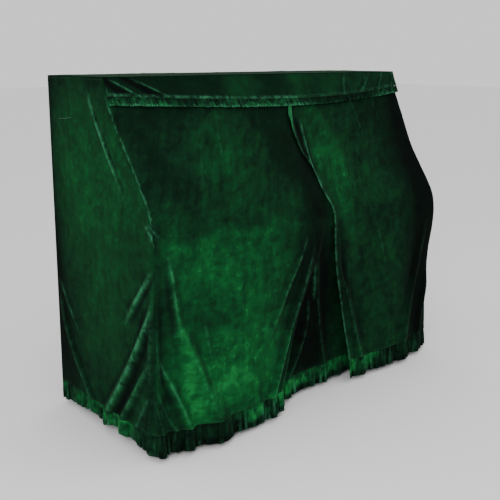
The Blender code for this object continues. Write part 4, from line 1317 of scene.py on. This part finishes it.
# %% Gathering tree
def gathering_tree():
    group, tree, given = new_group("gathered_frill", {
        "Pitch": 0.04, "Seam Swing": 0.0015, "Hem Swing": 0.0085, "Uneven": 0.5, "Lean": 0.25,
        "Hem Rise": 0.004, "Hem Light": 0.5, "Seed": 1.0})

    def named(name, kind="FLOAT"):
        reader = tree.add("GeometryNodeInputNamedAttribute", {"data_type": kind}, {"Name": name})
        return reader.out("Attribute")

    def drift(word):
        """One of the slow random values along the seam, from about -1 to 1."""
        size = pitch * DRIFTS[word].pitches
        place = along / size + given("Seed") * SEED_SHIFT + DRIFTS[word].shift
        noise = tree.add("ShaderNodeTexNoise", {"noise_dimensions": "1D"},
                         {"W": place, "Scale": 1.0, "Detail": 1.0})
        return (noise.out("Fac") - 0.5) * DRIFT_RANGE

    def vector_maths(operation, values):
        return tree.add("ShaderNodeVectorMath", {"operation": operation}, values).out("Vector")

    along, level = named("along"), named("level")
    pitch, uneven = given("Pitch"), given("Uneven")
    turns = along / pitch + uneven * drift("spacing")
    angle = turns * (2 * math.pi) + level * uneven * drift("wander") * WANDER
    depth = 1.0 - uneven * (SHALLOW + DEPTH_DRIFT * drift("depth"))
    small = (angle * RIPPLES + RIPPLE_SHIFT).sine() * (1.0 - level) * RIPPLE
    swing = angle.sine() * depth + small
    reach = given("Seam Swing") + (given("Hem Swing") - given("Seam Swing")) * level ** SPREAD
    lean = (angle * 2.0).sine() * given("Lean") * pitch * level * depth * FALL_OVER
    rise = given("Hem Rise") * level * drift("hem") + swing * reach * HEM_FOLLOWS * level

    out_by = vector_maths("SCALE", {"Vector": named("facing", "FLOAT_VECTOR"), "Scale": swing * reach})
    side_by = vector_maths("SCALE", {"Vector": named("tangent", "FLOAT_VECTOR"), "Scale": lean})
    up_by = tree.add("ShaderNodeCombineXYZ", {}, {"Z": rise}).out("Vector")
    moved = vector_maths("ADD", {0: vector_maths("ADD", {0: out_by, 1: side_by}), 1: up_by})
    placed = tree.add("GeometryNodeSetPosition", {}, {"Geometry": given("Geometry"), "Offset": moved})

    # Painted highlights: specks of light growing towards the hem, and a line on each gather's crest.
    specks = (drift("speck") + drift("blot") * BLOT).at_least(0.0)
    beaded = given("Hem Light") * level ** LIT_POWER * (SPECKED + specks)
    lit_hem = (level ** HEM_POWER * HEM_LIGHT + SEAM_LIGHT) * specks.at_most(1.0) + beaded
    swung = (swing.at_least(0.0) ** CREST_POWER) * (CREST_AT_SEAM + CREST_TO_HEM * level)
    crest = (swung + lit_hem) * named("glow")
    stored = tree.add("GeometryNodeStoreNamedAttribute", {"data_type": "FLOAT", "domain": "POINT"},
                      {"Geometry": placed.out("Geometry"), "Name": "crest", "Value": crest})
    return close_group(group, tree, stored.out("Geometry"), given("Material"))


GATHERING = gathering_tree()

# %% [markdown]
# ## Frills at the hem
# Each strip starts just inside the edge it hangs from, so that the cloth above seems to puff
# over the seam, and leans out a little towards its hem. Fine noise paints light and shade for the
# creases that are too small to gather, and painted shade darkens the hem where it turns in.

# %% Gathered strips
# Of the last two columns, the first is painted shade towards the hem and the second painted highlight along
# it.
Gather = namedtuple("Gather", "pitch seam_swing hem_swing uneven fold_over hem_rise "
                              "lean drawn_up turned_in hem_light")
FRONT_GATHER = Gather(0.040, 0.0018, 0.0080, 0.70, 0.38, 0.006, 0.006, 0.000, 0.85, 0.0)
SIDE_GATHER = Gather(0.046, 0.0018, 0.0088, 0.95, 0.50, 0.011, 0.001, 0.022, 0.25, 0.4)
VALANCE_GATHER = Gather(0.0135, 0.0010, 0.0030, 0.80, 0.40, 0.002, 0.002, 0.000, 0.0, 1.7)
FRILL_THICK = 0.8         # a frill's thickness over the other cloth's
FRILL_MAP = (1.5, -0.08)  # metres of pattern for a metre of seam, and from the seam to the hem


def gathered(name, points, values, row, seed, height, flip=False):
    """Gather a smooth strip by one row of the table. Gives the frill and its cut size."""
    rows, columns = points.shape[:2]
    uv = np.stack([values["along"], values["level"]], -1) * FRILL_MAP
    strip = new_object(name, points, grid_quads(rows, columns, flip), uv=uv, values=values)
    apply_tree(strip, GATHERING, {
        "Pitch": row.pitch, "Seam Swing": row.seam_swing, "Hem Swing": row.hem_swing, "Uneven": row.uneven,
        "Lean": row.fold_over, "Hem Rise": row.hem_rise, "Hem Light": row.hem_light, "Seed": float(seed),
        "Material": FRILL_VELVET}, CLOTH * FRILL_THICK)
    grid = np.array([v.co for v in strip.data.vertices][:rows * columns]).reshape(rows, columns, 3)
    lengths = np.linalg.norm(np.diff(grid, axis=1), axis=2).sum(1)
    return strip, (lengths.max(), height, lengths.mean() * height)


print("gathers every", FRONT_GATHER.pitch, SIDE_GATHER.pitch, "and", VALANCE_GATHER.pitch, "m")

# %% Light along the frills
# A frill's value along the run: a start, then soft steps (from, to, change) and spots (at, half
# width, change). The LAY tables give its lightness with painted light and shade, and the GLOW tables how
# strong the painted highlights on its crests are.
Along = namedtuple("Along", "start steps spots")
FRONT_FRILL_LAY_AND_LIGHT = Along(0.17, ((0.26, 0.44, 0.40),), ((0.61, 0.06, 0.80),))
FRONT_FRILL_GLOW = Along(0.45, ((0.26, 0.44, 0.65),), ())
SIDE_FRILL_LAY_AND_LIGHT = Along(0.40, ((-0.58, -0.38, 0.19), (-0.20, -0.10, -0.37)), ((-0.235, 0.060, 0.48),))
SIDE_FRILL_GLOW = Along(0.80, ((-0.58, -0.38, 0.80), (-0.20, -0.11, -1.00)), ())


def read_along(row, run):
    """A frill's value at each run."""
    value = row.start
    for low, high, change in row.steps:
        value = value + change * ramp(low, high, run)
    for at, half, change in row.spots:
        value = value + change * bell(run - at, half)
    return value


print("the front frill is darkest by the corner:", round(float(read_along(FRONT_FRILL_LAY_AND_LIGHT, 0.1)), 2))

# %% Frills at the hem
STEPS_PER_GATHER, FRILL_LEVELS = 16, 15              # the strip's grid, along and down
FRILL_TUCK = 0.0012       # the strip starts this far inside the skirt's face
FRILL_CLEAR = 0.002       # and ends this far above the back panel's hem
FACING_STEP = 0.012       # its way out is smoothed over this much run
CREASES = (Hills(0.6, 0.040, 0.5, 90), Hills(0.4, 0.013, 0.25, 100))
CREASE_SHADE = 1.1        # how strongly the painted light and shade of the fine creases show
TURNED_FROM, TURNED_TO = 0.56, 0.86                  # levels over which painted shade darkens the hem where it turns in
SIDE_SEED, FRONT_SEED = 2, 6                         # each panel's frill has a seed beside these


def bottom_frill(name, hand, run_start, run_end, row, seed, lay, glow):
    count = int((run_end - run_start) / row.pitch * STEPS_PER_GATHER)
    run, level = np.meshgrid(np.linspace(run_start, run_end, count + 1), np.linspace(0, 1, FRILL_LEVELS))
    points, facing = wall_grid(hand, run, SKIRT_DROP + 0 * run, FACING_STEP)
    points = points + facing * (row.lean * level - FRILL_TUCK)[..., None]
    drawn_up = row.drawn_up * np.sin(np.pi * (run - run_start) / (run_end - run_start))
    points[..., 2] = -(SKIRT_DROP + SEAM + (FRILL_HEIGHT - FRILL_CLEAR - drawn_up) * level)
    tangent = hand * np.stack([facing[..., 1], -facing[..., 0], 0 * run], -1)
    rough = 1 + CREASE_SHADE * soft_noise(CREASES, run + HILLS_FROM, level, seed)
    shade = read_along(lay, run) * rough * (1 - row.turned_in * ramp(TURNED_FROM, TURNED_TO, level))
    values = {"along": run - run_start, "level": level, "lay": np.maximum(shade, 0.0),
              "glow": read_along(glow, run), "facing": facing, "tangent": tangent}
    return gathered(name, points, values, row, seed, FRILL_HEIGHT, flip=hand == RIGHT)


for hand, word in WORDS.items():
    start = float(side_start(hand, np.array(SKIRT_DROP)))
    end = float(middle_end(hand, np.array(SKIRT_DROP)))
    frill, frill_size = bottom_frill(f"side_frill_cloth_{word}", hand, start, -SEAM / 2, SIDE_GATHER,
                                     SIDE_SEED + hand, SIDE_FRILL_LAY_AND_LIGHT, SIDE_FRILL_GLOW)
    declare(frill, f"side_frill_{word}")
    frill, frill_size = bottom_frill(f"front_frill_cloth_{word}", hand, SEAM / 2, end, FRONT_GATHER,
                                     FRONT_SEED + hand, FRONT_FRILL_LAY_AND_LIGHT, FRONT_FRILL_GLOW)
    declare(frill, f"front_frill_{word}")

# %% [markdown]
# ## Frill of the valance
# The narrow frill follows the valance's lower seam. It is the same strip and the same tree with
# smaller gathers, and it gets more painted highlight along its hem.

# %% Frill of the valance
VALANCE_FRILL_HEIGHT = 0.026
VALANCE_STEPS, VALANCE_LEVELS = 10, 7                # steps for each gather, and levels
VALANCE_LEAN = 0.002      # the hem stands this much further out than the seam
WRINKLES = (Hills(0.24, 0.010, 0.5, 95), Hills(0.12, 0.03, 0.7, 96))
WRINKLED, WRINKLED_GLOW = 0.4, 0.6                   # painted light and shade of the wrinkles everywhere, and more where it glows
VALANCE_FRILL_LAY, GLOW_LAY, HEM_GLOW_LAY = 0.14, 0.13, 0.20   # plain lightness, painted light where it glows, and painted light towards its hem
VALANCE_SEED = 12


def valance_frill():
    count = int(TOP_WIDTH / VALANCE_GATHER.pitch * VALANCE_STEPS)
    x, level = np.meshgrid(np.linspace(-SIDE_EDGE, SIDE_EDGE, count + 1), np.linspace(0, 1, VALANCE_LEVELS))
    seam = band_drop(x)
    drop = seam + SEAM + VALANCE_FRILL_HEIGHT * level
    y = valance_y(x, seam) - VALANCE_LEAN * level + front_line(x, drop) - front_line(x, seam)
    points = np.stack([x, y, -drop], -1)
    glow = read_rows(FRILL_GLOW, x, "light")
    wrinkled = soft_noise(WRINKLES, x + HILLS_FROM, level) * (WRINKLED + WRINKLED_GLOW * glow)
    values = {"along": x + SIDE_EDGE, "level": level, "glow": glow,
              "lay": VALANCE_FRILL_LAY + glow * (GLOW_LAY + HEM_GLOW_LAY * level ** 2) + wrinkled,
              "facing": np.zeros_like(points) + (0, -1, 0), "tangent": np.zeros_like(points) + (1, 0, 0)}
    return gathered("valance_frill_cloth", points, values, VALANCE_GATHER, VALANCE_SEED,
                    VALANCE_FRILL_HEIGHT)


frill, frill_size = valance_frill()
declare(frill, "valance_frill")

# %% [markdown]
# ## Stitching
# Every turned edge is sewn down by machine. A row of stitches repeats by rule, so Geometry Nodes
# make it: the tree walks along a line that lies on the cloth and sets one short bead of thread
# after another, each a little longer or shorter. Modelling thousands by hand makes no sense, and
# a bump map would not stand up to a close look.

# %% Stitch tree
SHORTEST, UNEVEN_STITCH = 0.85, 0.3                      # shares of the stitch length
STITCH_SEED_SHIFT = 17.3                                 # a seed moves this far along the random values


def stitch_tree():
    group, tree, given = new_group("stitch_row", {
        "Pitch": 0.005, "Stitch Length": 0.0036, "Thread": 0.0009, "Seed": 1.0})
    curve = tree.add("GeometryNodeMeshToCurve", {}, {"Mesh": given("Geometry")}).out("Curve")
    spots = tree.add("GeometryNodeCurveToPoints", {"mode": "LENGTH"},
                     {"Curve": curve, "Length": given("Pitch")})
    number = tree.add("GeometryNodeInputIndex").out("Index")
    chance = tree.add("ShaderNodeTexWhiteNoise", {"noise_dimensions": "1D"},
                      {"W": number + given("Seed") * STITCH_SEED_SHIFT}).out("Value")
    long = given("Stitch Length") * (SHORTEST + chance * UNEVEN_STITCH)
    size = tree.add("ShaderNodeCombineXYZ", {}, {"X": given("Thread"), "Y": given("Thread"), "Z": long})
    bead = tree.add("GeometryNodeMeshUVSphere", {}, {"Segments": 6, "Rings": 5, "Radius": 0.5}).out("Mesh")
    row = tree.add("GeometryNodeInstanceOnPoints", {},
                   {"Points": spots.out("Points"), "Instance": bead,
                    "Rotation": spots.out("Rotation"), "Scale": size.out("Vector")})
    return close_group(group, tree, row.out("Instances"), given("Material"))


STITCHING = stitch_tree()

# %% [markdown]
# ## Rows of stitches
# The skirt is sewn along its hem and its top seam, the free edge and the valance's casing have
# rows of their own, and the back has its hem. Near the top of the left side a few long stitches
# in a paler thread mend the cloth.

# %% Sewing
STITCH_STEP = 0.006       # spacing of the points that carry a row's line
Thread = namedtuple("Thread", "pitch length thick")
FINE_THREAD = Thread(0.0050, 0.0036, 0.0009)
MENDING = Thread(0.0105, 0.0072, 0.0020)


def steps(start, end):
    return np.linspace(start, end, max(2, int(abs(end - start) / STITCH_STEP)))


def sew(name, rows, thread, material, seed):
    """One object of stitches along several lines, each an array of points."""
    first = np.cumsum([0] + [len(row) for row in rows])
    edges = [(at, at + 1) for start, end in zip(first, first[1:]) for at in range(start, end - 1)]
    thing = new_object(name, np.concatenate(rows), edges=edges)
    apply_tree(thing, STITCHING, {"Pitch": thread.pitch, "Stitch Length": thread.length,
                                  "Thread": thread.thick, "Seed": float(seed), "Material": material})
    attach(thing, "root")
    made.append(thing)
    print(f"{name}: {len(rows)} rows, {2 * len(thing.data.polygons)} triangles at most")


print(f"stitches every {1000 * FINE_THREAD.pitch:.1f} mm, mending every {1000 * MENDING.pitch:.1f} mm")

# %% Rows of stitches
HEM_LINE, TOP_LINE, EDGE_INSET = 0.006, 0.006, 0.010     # from a row to its edge
SIDE_GAP, SEAM_GAP, BACK_GAP = 0.006, 0.004, 0.008       # from a row's ends to the next edge or seam
THREAD_CLEAR, CASING_CLEAR = 0.0003, 0.0002              # the thread's line lies this far off the cloth
EDGE_ROW_TOP, EDGE_ROW_FOOT = 0.100, 0.010               # where the free edge's row starts and ends
CASING_ROWS = (-0.0052, 0.0048)                          # on both sides of the casing

# The mending runs between two runs at two drops.
MEND_FROM, MEND_TO, MEND_DROPS = -0.372, -0.276, (0.1485, 0.1395)
MEND_WOBBLE, MEND_TURNS = 0.0012, 110                    # it was sewn by hand


def on_wall(hand, run, drop):
    """A line on the skirt's outer face."""
    points, facing = wall_grid(hand, *np.broadcast_arrays(run, drop))
    return points + facing * THREAD_CLEAR


def skirt_rows(hand):
    low, high = SKIRT_DROP - HEM_LINE, TOP_LINE
    start, high_start = (float(side_start(hand, np.array(drop))) + SIDE_GAP for drop in (low, high))
    end = float(middle_end(hand, np.array(low))) - SIDE_GAP
    return [on_wall(hand, steps(start, -SEAM_GAP), low), on_wall(hand, steps(SEAM_GAP, end), low),
            on_wall(hand, steps(high_start, -SIDE_GAP), high)]


def free_edge_row():
    drop = steps(EDGE_ROW_TOP, SKIRT_DROP - EDGE_ROW_FOOT)
    return on_wall(RIGHT, half_width(drop) - free_edge(drop) - EDGE_INSET, drop)


def casing_row(beside):
    x = steps(SIDE_GAP - SIDE_EDGE, SIDE_EDGE - SIDE_GAP)
    drop = band_drop(x) - CASING_UP + beside
    return np.stack([x, valance_y(x, drop) - CASING_CLEAR, -drop], -1)


def back_row(drop):
    wide = float(half_width(np.array(drop))) - BACK_GAP
    x = steps(-wide, wide)
    return np.stack([x, back_y(x, drop + 0 * x) + THREAD_CLEAR, 0 * x - drop], -1)


def mending_row():
    run = steps(MEND_FROM, MEND_TO)
    wobble = MEND_WOBBLE * np.sin(MEND_TURNS * run)
    return on_wall(LEFT, run, np.interp(run, (MEND_FROM, MEND_TO), MEND_DROPS) + wobble)


for hand, word in WORDS.items():
    sew(f"skirt_stitches_{word}", skirt_rows(hand), FINE_THREAD, THREAD, 20 + hand)
sew("free_edge_stitches", [free_edge_row()], FINE_THREAD, THREAD, 23)
sew("casing_stitches", [casing_row(beside) for beside in CASING_ROWS], FINE_THREAD, THREAD, 24)
sew("back_stitches", [back_row(drop) for drop in (TOP_LINE, HEM_DROP - HEM_DEPTH)], FINE_THREAD, THREAD, 25)
sew("mending_stitches", [mending_row()], MENDING, PALE_THREAD, 26)

# %% [markdown]
# ## Stage
# A pale matt floor lies just under the hem, so that the cover stands on something without
# touching it.

# %% Stage
FLOOR_GAP = 0.020         # between the hem and the floor
floor_material, floor_tree, floor_shader = new_material("pale_floor")
floor_tree.feed(floor_shader, {"Base Color": (0.90, 0.90, 0.90, 1), "Roughness": 0.9})
bpy.ops.mesh.primitive_plane_add(size=60, location=(0, 0, -HEM_DROP - FLOOR_GAP))
floor = bpy.context.object
floor.name = "studio_floor"
floor.data.materials.append(floor_material)
print(f"floor {FLOOR_GAP:.3f} m under the hem")

# %% [markdown]
# ## Light
# The world is plain white. Two soft lamps are enough: a strong one from the front left shapes the
# folds, and a wide weak one from above lifts the slope over the keyboard.

# %% Light
world = bpy.data.worlds.new("studio")
bpy.context.scene.world = world
world.use_nodes = True
Tree(world.node_tree).feed(world.node_tree.nodes["Background"], {"Color": (1, 1, 1, 1), "Strength": 1.0})

Lamp = namedtuple("Lamp", "name place size power")
LAMPS = (
    Lamp("key", (-2.9, -2.6, 1.1), 1.2, 70.0),
    Lamp("top", (0.5, -1.5, 3.0), 3.0, 30.0),
)
AIM = Vector((0.0, -0.2, -0.6))
for lamp in LAMPS:
    data = bpy.data.lights.new(lamp.name, "AREA")
    data.size, data.energy = lamp.size, lamp.power
    thing = bpy.data.objects.new(lamp.name, data)
    thing.location = lamp.place
    thing.rotation_euler = (AIM - Vector(lamp.place)).to_track_quat("-Z", "Y").to_euler()
    bpy.context.scene.collection.objects.link(thing)
print("lamps:", [lamp.name for lamp in LAMPS])

# %% [markdown]
# ## Camera
# The camera stands at the front left at the height of the top, so that the front, the left side
# and a sliver of the top show. Its frame is built from where it looks and which way is right.

# %% Camera
CAMERA_AT = Vector((-2.020, -2.300, 0.0635))
YAW, PITCH = math.radians(42.004), math.radians(14.860)
ahead = Vector((math.sin(YAW) * math.cos(PITCH), math.cos(YAW) * math.cos(PITCH), -math.sin(PITCH)))
right = Vector((math.cos(YAW), -math.sin(YAW), 0))
above = right.cross(ahead)
camera_data = bpy.data.cameras.new("view")
camera_data.sensor_width = 36.0
camera_data.lens = 52.25
camera = bpy.data.objects.new("view", camera_data)
camera.matrix_world = Matrix((right, above, -ahead)).transposed().to_4x4()
camera.location = CAMERA_AT
bpy.context.scene.collection.objects.link(camera)
bpy.context.scene.camera = camera
print(f"camera {(AIM - CAMERA_AT).length:.2f} m from the cover's middle")

# %% Sizes and finish
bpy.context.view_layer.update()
print("triangles:", sum(len(piece.data.loop_triangles) or 2 * len(piece.data.polygons) for piece in made))
